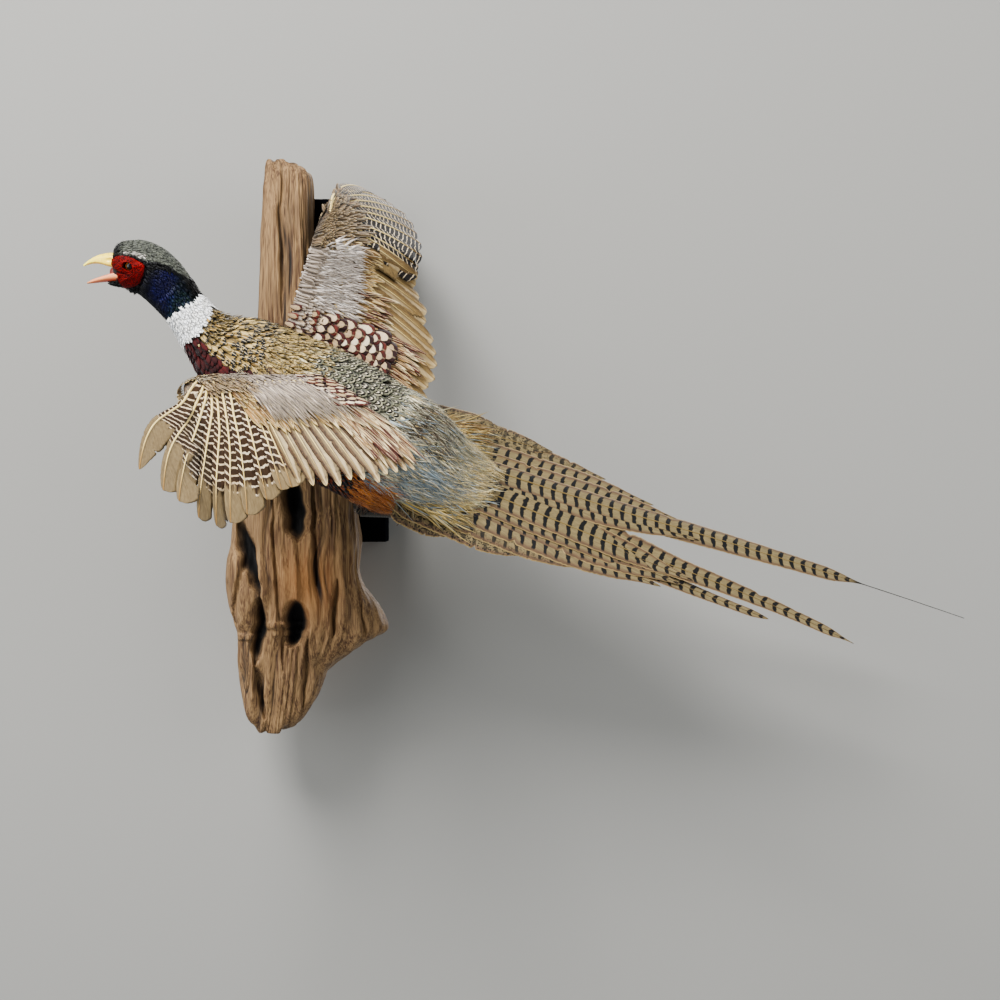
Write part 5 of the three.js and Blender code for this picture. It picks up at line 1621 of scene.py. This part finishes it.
def build_neck_coat():
    """Glossy scales down to the white collar, which is of soft overlapping feathers."""
    rng = np.random.default_rng(102)
    glossy = Coat("neck_feathers", "glossy", "dark_plumage")
    roots = spaced_roots(body_surface, (4.85, 5.95), FULL_TURN, 1.75, 1.75, rng)
    tint = varied(head_colour(roots, rng), rng, 0.16)
    glossy.on_body(roots, ((4.4, 6.3), FULL_TURN), tint, rim=tint * 0.5, zones=(0.75, 0.9, 0.0), outline="scale",
                   arch=0.14, **strewn(rng, len(roots), (6, 8.5), (2.2, 3.0), (0.0, 0.8), 0.14))
    glossy.build()
    collar = Coat("collar_feathers", "downy", "dark_plumage")
    roots = spaced_roots(body_surface, (5.85, 7.55), FULL_TURN, 1.5, 1.6, rng, jitter=0.7)
    off, _ = body_angles(roots)
    roots = roots[roots[:, 0] < np.interp(off, [0, 30, 70, 120, 150, 180], [6.45, 7.0, 7.4, 7.3, 7.15, 7.1])]
    tint = dyed(rng, len(roots), ("ffffff", "fdfcfa", "faf9f6"), 0.02)
    collar.on_body(roots, ((5.8, 7.9), FULL_TURN), tint, zones=(0.8, 0.85, 0.0), outline="leaf", arch=0.04,
                   **strewn(rng, len(roots), (7, 11), (3.0, 4.6), (0.8, 1.6), 0.2, 0.8))
    collar.build()


def mantle_colours(roots, rng):
    """Gold on the upper back, browner towards the middle of the back."""
    count = len(roots)
    gold = picked(rng, count, ("c2b083", "b3a06e", "ccbb90", "9f8b5b", "b8a678"))
    brown = picked(rng, count, ("a89062", "8d7750", "c2ad80", "d4c49c"))
    return blend(gold, brown, 0.6 * rise_between(roots[:, 0], 9.6, 10.6))


def ticks(rng, count, place, half_wide, half_long, bare):
    """Dark spots for a tract, drawn evenly between bounds; a share of the feathers is left bare."""
    tick = np.stack([rng.uniform(*bounds, count) for bounds in (place, half_wide, half_long)], -1)
    tick[rng.random(count) < bare, 1] = 0
    return tick


def build_mantle_coat():
    """Black spiky feathers where the collar meets the back, gold ones with a dark tick, and longer,
    narrower and browner ones behind them."""
    rng = np.random.default_rng(103)
    coat = Coat("mantle_feathers", "mantle", "gold_plumage")
    patch = ((6.5, 12.2), (5, 175))
    pale_rim = lambda tint, code, share: lerp(tint, paint(code), share)
    roots = spaced_roots(body_surface, (6.55, 8.2), (28, 152), 2.8, 2.6, rng, jitter=0.6)
    start = np.interp(body_angles(roots)[0], [0, 30, 70], [6.6, 7.15, 7.6])
    roots = roots[(roots[:, 0] > start) & (roots[:, 0] < start + 1.1)]
    count = len(roots)
    tint = dyed(rng, count, ("15110f", "231b15", "b79e66"), 0.15, (0.5, 0.3, 0.2))
    coat.on_body(roots, patch, tint, rim=pale_rim(tint, "d8c48c", 0.35), zones=(0.6, 0.62, 0.3), outline="leaf",
                 arch=0.15, **strewn(rng, count, (8, 12), (1.8, 3.0), (1.0, 3.4), 0.25))
    roots = spaced_roots(body_surface, (7.3, 9.9), (6, 174), 4.6, 4.2, rng)
    roots = roots[roots[:, 0] > np.interp(body_angles(roots)[0], [0, 30, 70, 84], [7.2, 7.3, 7.55, 7.6])]
    count = len(roots)
    nape = rise_between(roots[:, 0], 8.6, 7.6)
    tint = varied(mantle_colours(roots, rng), rng, 0.1)
    tick = ticks(rng, count, (0.82, 0.9), (0.9, 1.5), (0.11, 0.15), 0.12)
    lay = strewn(rng, count, (12, 15.5), (4.8, 6.2), (0.4, 1.4), 0.12)
    lay["length"] *= 1 - 0.25 * nape
    lay["width"] *= 1 - 0.45 * nape
    coat.on_body(roots, patch, tint, mark=tint * 0.55, rim=pale_rim(tint, "e6d9b4", 0.35), zones=(0.86, 0.9, 0.75),
                 tick=tick, outline="leaf", arch=0.1, columns=5, **lay)
    roots = spaced_roots(body_surface, (9.8, 11.15), (15, 165), 4.2, 2.6, rng)
    count = len(roots)
    tint = varied(mantle_colours(roots, rng), rng, 0.2)
    pale = (rng.random(count) < 0.5 * rise_between(roots[:, 0], 10.4, 11.1))[:, None]
    tint = np.where(pale, picked(rng, count, ("d9d0b4", "e6dfc8")), tint)
    tick = ticks(rng, count, (0.84, 0.92), (0.5, 1.0), (0.05, 0.09), 0.3)
    coat.on_body(roots, patch, tint, mark=tint * 0.25, rim=pale_rim(tint, "ead9a6", 0.4), zones=(0.55, 0.7, 0.5),
                 tick=tick, outline="leaf", arch=0.12, **strewn(rng, count, (14, 21), (2.4, 4.4), (0.5, 1.8), 0.2))
    coat.build()


def build_back_coat():
    """Middle of the back: grey-green feathers with white and black lines that follow their edge. Each is
    laid twice, smaller the second time, so that its lines stand inside one another; loose grey barbs lie
    between them."""
    rng = np.random.default_rng(104)
    coat = Coat("middle_back_feathers", "marked", "grey_plumage")
    patch = ((10.6, 14), (0, 180))
    roots = spaced_roots(body_surface, (10.95, 13.2), (5, 175), 6.2, 6.6, rng, jitter=0.3)
    count = len(roots)
    base = dyed(rng, count, ("a5a492", "b3b19f", "989888", "bdb9a6"), 0.1)
    wide = rng.uniform(8.6, 10.6, count) * MM
    long = rng.uniform(14, 17, count) * MM
    turn = rng.normal(0, 0.16, count)
    high = rng.uniform(0.5, 1.6, count) * MM
    for grow, share, tint, mark, rim, lift, columns in (
            (0.94, 1.0, base * 0.55, paint("e9e4d4"), base, 0.0, 5),
            (0.84, 0.6, paint("2a2622"), paint("e2dccb"), paint("1d1915"), 0.25 * MM, 3)):
        coat.on_body(roots, patch, tint, mark=mark, rim=rim, zones=(0.55, 0.72, 0.1), length=long * grow,
                     width=wide * share, low=lift - coat_depth(roots[:, 0]), high=high + lift, turn=turn,
                     arch=0.1, columns=columns)
    roots = spaced_roots(body_surface, (10.9, 13.3), (2, 178), 4.5, 3.2, rng, jitter=0.8)
    tint = dyed(rng, len(roots), ("8d8b82", "a19e93", "79776e", "8b8f7c"), 0.12)
    coat.on_body(roots, patch, tint, rim=tint * 0.8, zones=(0.9, 0.95, 0.1), outline="strand", arch=0.4,
                 **strewn(rng, len(roots), (10, 16), (0.9, 1.7), (0.6, 2.4), 0.3, 1.6))
    coat.build()


def rump_colours(roots, rng):
    """Pale green above, blue-grey on the near flank, buff towards the tail, and a rusty patch."""
    count = len(roots)
    off, side = body_angles(roots)
    green = picked(rng, count, ("d2cfbd", "dfdac9", "c0bead", "ebe5d4", "aeaea0"))
    blue = picked(rng, count, ("b4bec2", "c8cfd0", "a2aeb4"))
    buff = picked(rng, count, ("eddfba", "f4eacd", "dacaa0"))
    near_low = np.clip(rise_between(off, 25, 55) * (side < 0), 0, 1)
    colour = np.where((rng.random(count) < 0.2 + 0.5 * near_low)[:, None], blue, green)
    late = rise_between(roots[:, 0], 13.6, 15.0)
    colour = np.where((rng.random(count) < 0.1 + 0.65 * late)[:, None], buff, colour)
    brown = (np.abs(roots[:, 0] - 13.2) < 0.5) & (off < 40) & (rng.random(count) < 0.5)
    colour = np.where(brown[:, None], picked(rng, count, ("8a7b6c", "a09284", "786a5c")), colour)
    rust = (off > 92) & (off < 160) & (roots[:, 0] > 12.55) & (roots[:, 0] < 13.25) & (side < 0)
    return np.where(rust[:, None], picked(rng, count, ("c89250", "dca860", "ab7434")), colour)


def build_rump_coat():
    """Long loose plumes, each a narrow strand, in several thicknesses of coat over the lower back, the last
    of them draped over the root of the tail."""
    for name, start, end, seed in (("upper_rump_plumes", 12.6, 13.8, 105),
                                   ("lower_rump_plumes", 13.8, 15.4, 106)):
        rng = np.random.default_rng(seed)
        coat = Coat(name, "hairy", "grey_plumage")
        for layer, (pace, width) in enumerate((((3.2, 1.5), (1.4, 3.0)), ((2.6, 1.3), (0.5, 1.2)))):
            roots = spaced_roots(body_surface, (start, end), (-62, 242), *pace, rng, jitter=0.9)
            roots = roots[rng.random(len(roots)) > 0.6 * rise_between(roots[:, 0], 14.5, 15.4)]
            count = len(roots)
            tint = varied(rump_colours(roots, rng), rng, 0.26)
            late = rise_between(roots[:, 0], 14.2, 15.4)
            coat.on_body(roots, ((start - 0.1, end + 0.1), (-75, 255)), tint, rim=tint * 0.8,
                         zones=(0.9, 0.95, 0.3),
                         length=rng.uniform(24, 44, count) * MM * (1 - late * rng.uniform(0, 0.6, count)),
                         width=rng.uniform(*width, count) * MM,
                         low=-coat_depth(roots[:, 0]) * rng.uniform(0.4, 0.8, count),
                         high=(rng.uniform(0.2, 2.8, count) + 2.0 * layer * rng.random(count)) * MM,
                         outline="strand", turn=rng.normal(0, 0.2, count), arch=0.5,
                         sway=rng.normal(0, 5.5, count) * MM, curl=rng.uniform(0, 2.4, count) * MM)
        coat.build()


def under_colours(roots, rng):
    """Maroon breast with dark edges, gold flanks with black tips, black-brown belly, rusty vent."""
    station = roots[:, 0]
    off, _ = body_angles(roots)
    maroon, gold, black, vent = (picked(rng, len(roots), codes) for codes in (
        ("701c22", "62161e", "7a2428"), ("a8702c", "b98238", "8f5a24"), ("1c1614", "2a201b", "15110f"),
        ("4a3222", "5d3f28", "3a281e")))
    flank = rise_between(station, 9.6, 10.8) * rise_between(off, 152, 128) * rise_between(station, 13.4, 12.8)
    belly = rise_between(station, 10.3, 11.6) * rise_between(off, 128, 150)
    colour = blend(blend(maroon, gold, flank), black, np.maximum(belly, rise_between(station, 12.4, 13.2)))
    return blend(colour, vent, rise_between(station, 13.8, 14.8))


def build_under_coat():
    """Round overlapping feathers of the breast and belly."""
    rng = np.random.default_rng(107)
    for name, start, end, q_range in (("breast_feathers", 7.5, 10.6, (-198, 18)),
                                      ("belly_feathers", 10.5, 16.4, (-196, 16))):
        coat = Coat(name, "soft", "dark_plumage")
        roots = spaced_roots(body_surface, (start, end), q_range, 4.2, 3.9, rng)
        roots = roots[(roots[:, 0] > 9.6) | (body_angles(roots)[0] > 82)]
        off, _ = body_angles(roots)
        early = rise_between(roots[:, 0], 8.4, 7.6)
        tint = varied(under_colours(roots, rng), rng, 0.1)
        black = rise_between(roots[:, 0], 9.8, 10.8) * rise_between(off, 150, 130)
        rim = blend(tint * 0.8, paint("120c12"), black)
        lay = strewn(rng, len(roots), (13, 18), (6, 8.5), (0.3, 1.0), 0.14)
        lay["length"] -= 5 * early * MM
        lay["width"] -= 2.5 * early * MM
        coat.on_body(roots, ((start - 0.1, end + 0.1), (q_range[0] - 2, q_range[1] + 2)), tint, mark=rim, rim=rim,
                     zones=(0.72, 0.9, 0.0), arch=0.12, **lay)
        coat.build()


SHOULDER_PACE, SHOULDER_BEND = 5.3, 0.02


def shoulder_surface(side):
    """The inner end of the spread wing by share of the chord and millimetres inwards from the wing's inner
    edge. Past the edge the sheet runs on straight towards the back and bends down by the square."""
    wing, upper = wing_surface(side), wing_axes(side)[0]

    def surface(t, inward):
        t, inward = np.broadcast_arrays(np.asarray(t, float), np.asarray(inward, float))
        way = unit(wing(t, INNER_PLACE) - wing(t, INNER_PLACE - 1))
        past = np.maximum(inward, 0)[..., None]
        return (wing(t, INNER_PLACE + np.minimum(inward, 0) / SHOULDER_PACE) + way * past * MM
                - upper * SHOULDER_BEND * past**2 * MM)

    return surface


# For each side, where the plain bed ends along the web; the ovals' shares of the chord, millimetres
# across, spacing, size, breadth and height; and the streaked feathers' shares, millimetres and length.
SCAPULARS = {
    "left": (0.6, (-0.04, 0.4), (-12, 10), (5.8, 7.6), 0.66, 1.4, 3.6, (0.24, 0.62), (-24, 10), 1.0),
    "right": (1.0, (-0.03, 0.6), (-19, 7), (7.6, 7.6), 1.0, 1.0, 2.4, (0.46, 0.7), (-22, 6), 0.7),
}


def build_scapulars(side):
    """Cream ovals with black-lined maroon edges in regular rows, larger towards the tail, over the joint of
    wing and back, above a bed of plain feathers."""
    bed_end, (low, high), across, step, big, broad, rise, streaks, streaks_across, grow = SCAPULARS[side]
    rng = np.random.default_rng(110 if side == "left" else 111)
    coat = Coat(f"{side}_scapular_feathers", "marked", "gold_plumage")
    web, upper = web_surface(side), wing_axes(side)[0]
    roots = spaced_roots(web, (0.08, bed_end), (-0.6, 0.9), 5.0, 4.4, rng, jitter=0.4)
    bed = dyed(rng, len(roots), ("8b7a66", "9c8c76", "766856", "aa9b86"), 0.14)
    coat.add(web, roots, ((-0.4, 1.3), (-1, 1)), bed, rim=bed * 0.7, zones=(0.8, 0.9, 0.1), low=-3 * MM,
             outline="leaf", arch=0.12, flip=facing(web, 0.5, 0.0, upper), least=(0.012, 0.012),
             **strewn(rng, len(roots), (12, 16), (5, 7), (0.2, 1.2), 0.2))
    surface = shoulder_surface(side)
    same = {"flip": facing(surface, 0.3, -5.0, upper), "columns": 5, "arch": 0.14, "least": (0.03, 0.0003)}
    roots = spaced_roots(surface, (low, high), across, *step, rng, jitter=0.12)
    count = len(roots)
    cream = dyed(rng, count, ("e2d2bc", "d2c0a8", "ece0cf", "c6b49a"), 0.05)
    maroon = dyed(rng, count, ("7a4230", "8a5240", "623224"), 0.12)
    size = np.interp((roots[:, 0] - low) / (high - low), [0, 0.3, 1], [0.5, 0.85, 1.15]) * big
    zones = np.stack([rng.uniform(0.6, 0.68, count), rng.uniform(0.7, 0.78, count), np.full(count, 0.2)], -1)
    lay = strewn(rng, count, (17, 19), (11, 12.4), (5.2, 5.7), 0.08)
    lay["length"] *= size
    lay["width"] *= size * broad
    coat.add(surface, roots, ((-0.1, 0.7), (-22, 12)), cream, mark=paint("1e1310"), rim=maroon, zones=zones,
             low=rise * MM, outline="blunt", **same, **lay)
    roots = spaced_roots(surface, streaks, streaks_across, 7, 2.9, rng, jitter=0.6)
    tint, mark, rim = STREAKED(roots, rng)
    lay = strewn(rng, len(roots), (38, 58), (2.6, 4.6), (2.6, 4.6), 0.08)
    lay["length"] *= grow
    coat.add(surface, roots, ((-0.1, 0.7), (-26, 12)), tint, mark=mark, rim=rim, zones=(0.5, 0.74, 0.8),
             low=1.0 * MM, outline="leaf", **same, **lay)
    coat.build()


def covert_row(coat, side, rng, t_range, places, step, long, wide, colours, zones, above=True, columns=3,
               outline="round", lift=0.0, turn=0.1, jitter=0.25, sway=0.0, loose=0.4):
    """One tract of wing coverts, between the arm's skin at the root and the arm's outline at the tip."""
    surface = wing_surface(side)
    flip = facing(surface, 0.2, 12.0, wing_axes(side)[0] * (1 if above else -1))
    roots = spaced_roots(surface, t_range, places, *step, rng, jitter=jitter)
    count = len(roots)
    length = rng.uniform(0.88, 1.12, count) * long
    tip = roots[:, 0] + length / feather_length(roots[:, 1])
    tint, mark, rim = colours(roots, rng)
    coat.add(surface, roots, ((-0.02, 0.8), (-0.6, 24.5)), tint, mark=mark, rim=rim, zones=zones,
             length=length * MM, width=rng.uniform(0.85, 1.1, count) * wide * MM,
             low=np.interp(roots[:, 0], *ARM_SKIN) * MM,
             high=(np.interp(tip, *ARM_TOP) + lift + rng.uniform(0, loose, count)) * MM, outline=outline,
             columns=columns, turn=rng.normal(0, turn, count), arch=0.1, flip=flip,
             sway=rng.normal(0, 1, count) * sway * MM, least=(0.05, 0.0018))


def fixed(codes, mark, rim, spread=0.1):
    """Colours of a tract: the middle, the rim and the mark, each picked from its own codes."""
    def give(roots, rng):
        tint, edge, band = (dyed(rng, len(roots), shades, amount)
                            for shades, amount in ((codes, spread), (rim, 0.08), ((mark,), 0.08)))
        return tint, band, edge
    return give


BROWN_U = fixed(("75604a", "87725a", "60503c"), "33261a", ("dccba4", "cdb98f"))
HAND_U = fixed(("a08c74", "b3a08a", "8a765f", "c2b29c"), "5c4a38", ("e0d2b8", "cbb998"), 0.14)
FAR_BROWN = fixed(("7a6752", "8f7b64", "63523f"), "2a1f16", ("c4b190", "b09c7a"), 0.14)
LAVENDER = fixed(("beb4ab", "cbc1b8", "b2a8a0", "d6ccc3"), "b8aea6", ("d2c8be", "c0b6ab"), 0.06)
# painted light: a paler copy of LAVENDER for the far wing, to make up for the shade that falls on it
FAR_LAVENDER_PAINTED_LIGHTER = fixed(("e0d8d2", "ece5df", "d2cac4", "f4efea"), "dcd4ce", ("efe8e2", "e2dad4"), 0.06)
SECONDARY_U = fixed(("a98f62", "957b52", "b89e70"), "3f3020", ("dccaa0", "cbb588"))
STREAKED = fixed(("cdb994", "dfd0b2", "94744f", "6a3426", "b89e74"), "8a6450", ("e4d6b8", "8a5a42", "c4ac84"))
WRIST_TUFT = fixed(("b8aea2", "cfc7bb", "9a9084"), "a89f98", ("cfc5b8",))
UNDERWING = fixed(("d2c8b6", "c2b6a4", "ded6c8"), "b3a592", ("c9bda9", "ad9f8a"), 0.06)
LEADING_UNDERWING = fixed(("a39178", "b7a890", "8f7c64"), "8b7860", ("c8bba5",))

# Tracts of the wing for each side: shares of the chord, places along the edge, spacing, length, width,
# colours, zones, and what differs from the usual row.
HAND, ARM = (-0.2, 9.6), (9.4, 24.0)
STRANDS = {"outline": "strand", "jitter": 0.8}
NEAR_HAND = (
    ((0.04, 0.16), (6.6, 13.4), (4.5, 2.4), 15, 3.0, HAND_U, (0.8, 0.9, 0.8),
     {"lift": 1.8, "outline": "leaf", "turn": 0.16, "loose": 1.4}),
    ((0.004, 0.07), (6.4, 9.6), (3.2, 2.4), 9, 3.4, HAND_U, (0.6, 0.8, 0.5),
     {"lift": 1.6, "turn": 0.2, "loose": 1.2}),
    ((0.004, 0.03), (-0.2, 6.6), (3.0, 2.2), 6, 2.6, BROWN_U, (0.6, 0.8, 0.5), {}),
)
FAR_HAND = (
    ((0.2, 0.3), HAND, (9, 3.6), 30, 4.6, FAR_BROWN, (0.8, 0.9, 0.5), {"lift": 0.2, "outline": "leaf"}),
    ((0.1, 0.24), HAND, (6, 3.2), 18, 4.0, FAR_BROWN, (0.7, 0.85, 0.5), {"lift": 0.3}),
    ((0.005, 0.14), HAND, (3.6, 2.6), 9, 3.2, FAR_BROWN, (0.65, 0.85, 0.4), {"lift": 0.3}),
)
FAR_STREAKS = (((0.2, 0.46), (15.5, 20.0), (12, 3.4), 38, 4.6, STREAKED, (0.55, 0.75, 0.8),
                {"outline": "leaf", "lift": 1.2, "jitter": 0.5, "loose": 0.8}),)
NEAR_PLUMES = (
    ((0.01, 0.18), (12.4, 22.6), (3.6, 1.7), 54, 3.0, LAVENDER, (0.7, 0.9, 0.9),
     {**STRANDS, "lift": 1.6, "turn": 0.07, "sway": 2.4, "loose": 2.4}),
    ((0.005, 0.06), (6.5, 13.5), (2.4, 1.3), 13, 1.4, WRIST_TUFT, (0.7, 0.9, 0.4),
     {**STRANDS, "lift": 1.4, "turn": 0.35, "sway": 1.6, "loose": 1.6}),
)
FAR_PLUMES = (((0.01, 0.3), (9.2, 19.0), (3.4, 1.6), 26, 2.2, FAR_LAVENDER_PAINTED_LIGHTER, (0.7, 0.9, 0.9),
               {**STRANDS, "lift": 1.2, "turn": 0.16, "sway": 1.8, "loose": 1.6}),)
UNDER = (
    ((0.2, 0.28), (1.6, 24), (8, 5.2), 44, 9, UNDERWING, (0.7, 0.85, 0.5), {"above": False, "lift": 0.1}),
    ((0.1, 0.22), (0.8, 24), (6.5, 5), 24, 8, UNDERWING, (0.6, 0.8, 0.3), {"above": False, "lift": 0.3}),
    ((0.004, 0.12), (-0.2, 24), (4.6, 4.2), 13, 6, LEADING_UNDERWING, (0.55, 0.8, 0.3),
     {"above": False, "lift": 0.5}),
)


def arm_rows(inner):
    """The arm's coverts, the two longer rows of which end at an inner place."""
    return (
        ((0.2, 0.3), (9.4, inner), (7, 3.6), 46, 6.0, SECONDARY_U, (0.78, 0.88, 0.9),
         {"columns": 5, "lift": 0.2, "outline": "leaf"}),
        ((0.1, 0.26), (9.4, inner), (7, 3.8), 24, 5.4, SECONDARY_U, (0.7, 0.85, 0.7), {"lift": 0.3}),
        ((0.005, 0.13), ARM, (3.6, 2.2), 12, 3.0, LAVENDER, (0.6, 0.8, 0.3), {"lift": 0.1}),
    )


COVERTS = {"left": (NEAR_HAND, arm_rows(20.5), NEAR_PLUMES, UNDER),
           "right": (FAR_HAND, arm_rows(21.5) + FAR_STREAKS, FAR_PLUMES, UNDER)}
COVERT_PIECES = (("hand_coverts", "marked"), ("arm_coverts", "marked"), ("silky_plumes", "hairy"),
                 ("underwing_coverts", "soft"))


def build_wing_coverts(side):
    """All the rows of coverts of a wing, in the order of its tables."""
    rng = np.random.default_rng(120 if side == "left" else 121)
    for (name, finish), rows in zip(COVERT_PIECES, COVERTS[side]):
        coat = Coat(f"{side}_{name}", finish, "wing_feather")
        for *row, options in rows:
            covert_row(coat, side, rng, *row, **options)
        coat.build()


def thigh_surface(side):
    """Tube of the thigh: its curve from hip to ankle, and degrees round it."""
    line = thigh_line(side)
    along = unit(line[2] - line[0])
    side_axis = unit(np.cross(along, [0.0, 1.0, 0.0]))
    top_axis = np.cross(side_axis, along)

    def surface(u, angle):
        u, angle = np.broadcast_arrays(np.asarray(u, float), np.radians(angle))
        radius = np.maximum(through(THIGH_RADII, u, 0, 1), 4) - 1.0
        return (smooth_curve(line, np.clip(u, 0, 1)) + (radius * np.cos(angle))[..., None] * side_axis
                + (radius * np.sin(angle))[..., None] * top_axis) * MM

    return surface


def build_thigh_coat(side):
    """Brown feathers that clothe the thigh down to the shank."""
    rng = np.random.default_rng(130 if side == "left" else 131)
    surface = thigh_surface(side)
    flip = facing(surface, 0.5, 90.0, surface(0.5, 90.0) - surface(0.5, -90.0))
    coat = Coat(f"{side}_thigh_feathers", "soft", "dark_plumage")
    roots = spaced_roots(surface, (0.12, 0.86), FULL_TURN, 3.6, 3.4, rng)
    tint = dyed(rng, len(roots), ("3b2c20", "4d3a29", "2c2119", "5c452e"), 0.14)
    coat.add(surface, roots, ((0, 1), FULL_TURN), tint, rim=tint * 0.6, zones=(0.7, 0.9, 0.2), low=-2.4 * MM,
             outline="leaf", arch=0.12, flip=flip, **strewn(rng, len(roots), (8, 12), (3.4, 5), (0.4, 1.4), 0.2))
    coat.build()


def build_tail_coverts():
    """Hair-like plumes draped over the root of the tail, and short soft feathers under it."""
    rng = np.random.default_rng(140)
    plumes = ("upper_tail_coverts", "hairy", 3.4, 1, (12, 62), (-50, 58), (3.4, 1.4), 0.8,
              ("d8c99c", "c6b684", "b3a373", "a5a592", "99a0a0", "bfb9a3"))
    soft = ("under_tail_coverts", "soft", -4.5, -1, (30, 92), (-42, 48), (6.0, 4.2), 0.4,
            ("4a2f1e", "6b4528", "33221a", "7c532f"))
    for name, finish, off, upright, along, across, step, jitter, codes in (plumes, soft):
        surface = lambda distance, reach, off=off: tail_surface(
            distance, reach, 0.12 * np.asarray(reach), off)
        flip = facing(surface, 80.0, 0.0, TAIL_AXES[1] * upright)
        coat = Coat(name, finish, "tail_feather")
        roots = spaced_roots(surface, along, across, *step, rng, jitter=jitter)
        count = len(roots)
        tint = dyed(rng, count, codes, 0.14)
        if upright > 0:
            rust = (roots[:, 1] > 34) & (rng.random(count) < 0.5)
            tint = np.where(rust[:, None], picked(rng, count, ("b39c68", "a08850")), tint)
            lay = {**strewn(rng, count, (22, 40), (0.7, 1.9), (0.3, 4.2), 0.24, 4), "low": -0.5 * MM,
                   "outline": "strand", "arch": 0.5}
        else:
            lay = {**strewn(rng, count, (22, 36), (3.5, 6.5), (0.2, 2.0), 0.08), "low": -1.5 * MM,
                   "outline": "leaf", "arch": 0.12}
        coat.add(surface, roots, ((10, 110), (-60, 68)), tint, mark=tint * 0.8, rim=tint * 0.7,
                 zones=(0.8, 0.9, 0.3), flip=flip, **lay)
        coat.build()


# ---------------------------------------------------------------- stage, light and camera

WALL_Y, FLOOR_Z, STAGE_REACH = 0.004, -0.72, 3.0
LIGHTS_AIM = (0.1, -0.1, -0.1)


def stage_finish(name, code):
    """Plain pale surface that is seen from its front only."""
    material = new_finish(name, lambda s: {"Base Color": code, "Roughness": 0.9, "Specular IOR Level": 0.2})
    tree = material.node_tree
    s = Shader(tree)
    clear = s.node("ShaderNodeBsdfTransparent")[0]
    behind = s.node("ShaderNodeNewGeometry")[6]
    plain = Value(tree, tree.nodes["Principled BSDF"].outputs[0])
    shown = s.node("ShaderNodeMixShader", {0: behind, 1: plain, 2: clear})[0]
    feed(tree, tree.nodes["Material Output"], {"Surface": shown})
    return material


def build_stage():
    """A wall and a floor that take no part in the light on the model."""
    low, wide = FLOOR_Z, STAGE_REACH
    wall = [[-wide, WALL_Y, low], [wide, WALL_Y, low], [wide, WALL_Y, wide], [-wide, WALL_Y, wide]]
    floor = [[-wide, -wide, low], [wide, -wide, low], [wide, WALL_Y, low], [-wide, WALL_Y, low]]
    for name, points, code in (("pale_wall", wall, "b6b5b2"), ("pale_floor", floor, "bab9b5")):
        faces = faces_of(np.arange(4)[None, :])
        sheet = add_mesh(name, points, *faces, stage_finish(name, code), smooth=False)
        sheet.visible_shadow = sheet.visible_diffuse = sheet.visible_glossy = False


def build_lights():
    """A large soft key from above and the front, a broad fill from the left, a weaker one from the right,
    and a rear light."""
    for name, place, size, power in (("key", (-0.7, -1.8, 1.8), 1.1, 222),
                                     ("fill", (-1.9, -1.8, 0.1), 2.0, 60),
                                     ("side", (2.1, -1.4, 0.3), 1.8, 43),
                                     ("rear", (0.6, 1.8, 0.6), 2.0, 92)):
        lamp = bpy.data.lights.new(name, "AREA")
        lamp.energy, lamp.size, lamp.shape = power, size, "SQUARE"
        holder = place_piece(name, lamp)
        holder.location = place
        holder.rotation_mode = "QUATERNION"
        holder.rotation_quaternion = (Vector(LIGHTS_AIM) - Vector(place)).to_track_quat("-Z", "Y")
    world = bpy.data.worlds.new("soft_room")
    world.use_nodes = True
    feed(world.node_tree, world.node_tree.nodes["Background"], {"Color": "dfe3e6", "Strength": 0.96})
    bpy.context.scene.world = world


def build_camera():
    """A level camera before the middle of the model, 1.5 m from its front."""
    lens = bpy.data.cameras.new("view")
    lens.lens, lens.sensor_width = 52.2, 36
    holder = place_piece("view", lens)
    holder.location = (0.170, -1.500, -0.130)
    holder.rotation_euler = (np.pi / 2, 0, 0)
    bpy.context.scene.camera = holder


# ---------------------------------------------------------------- the model

build_camera()
build_lights()
build_stage()
build_driftwood()
for side, sign in (("left", -1), ("right", 1)):
    build_wing_quills(side)
    build_eye(side, sign)
    build_wattle(side, sign)
build_tail()
build_bill("upper_bill_horn", UPPER_BILL, "upper_horn", True)
build_bill("lower_bill_horn", LOWER_BILL, "lower_horn", False)
build_mouth()
build_head_coat()
build_neck_coat()
build_mantle_coat()
build_back_coat()
build_rump_coat()
build_under_coat()
build_tail_coverts()
for side in ("left", "right"):
    build_scapulars(side)
    build_wing_coverts(side)
    build_thigh_coat(side)
    build_leg(side)
build_skin()
for name, finish in (("hanger_block", "board"), ("mounting_rod", "rod")):
    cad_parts[name].material_slots[0].material = FINISH[finish]
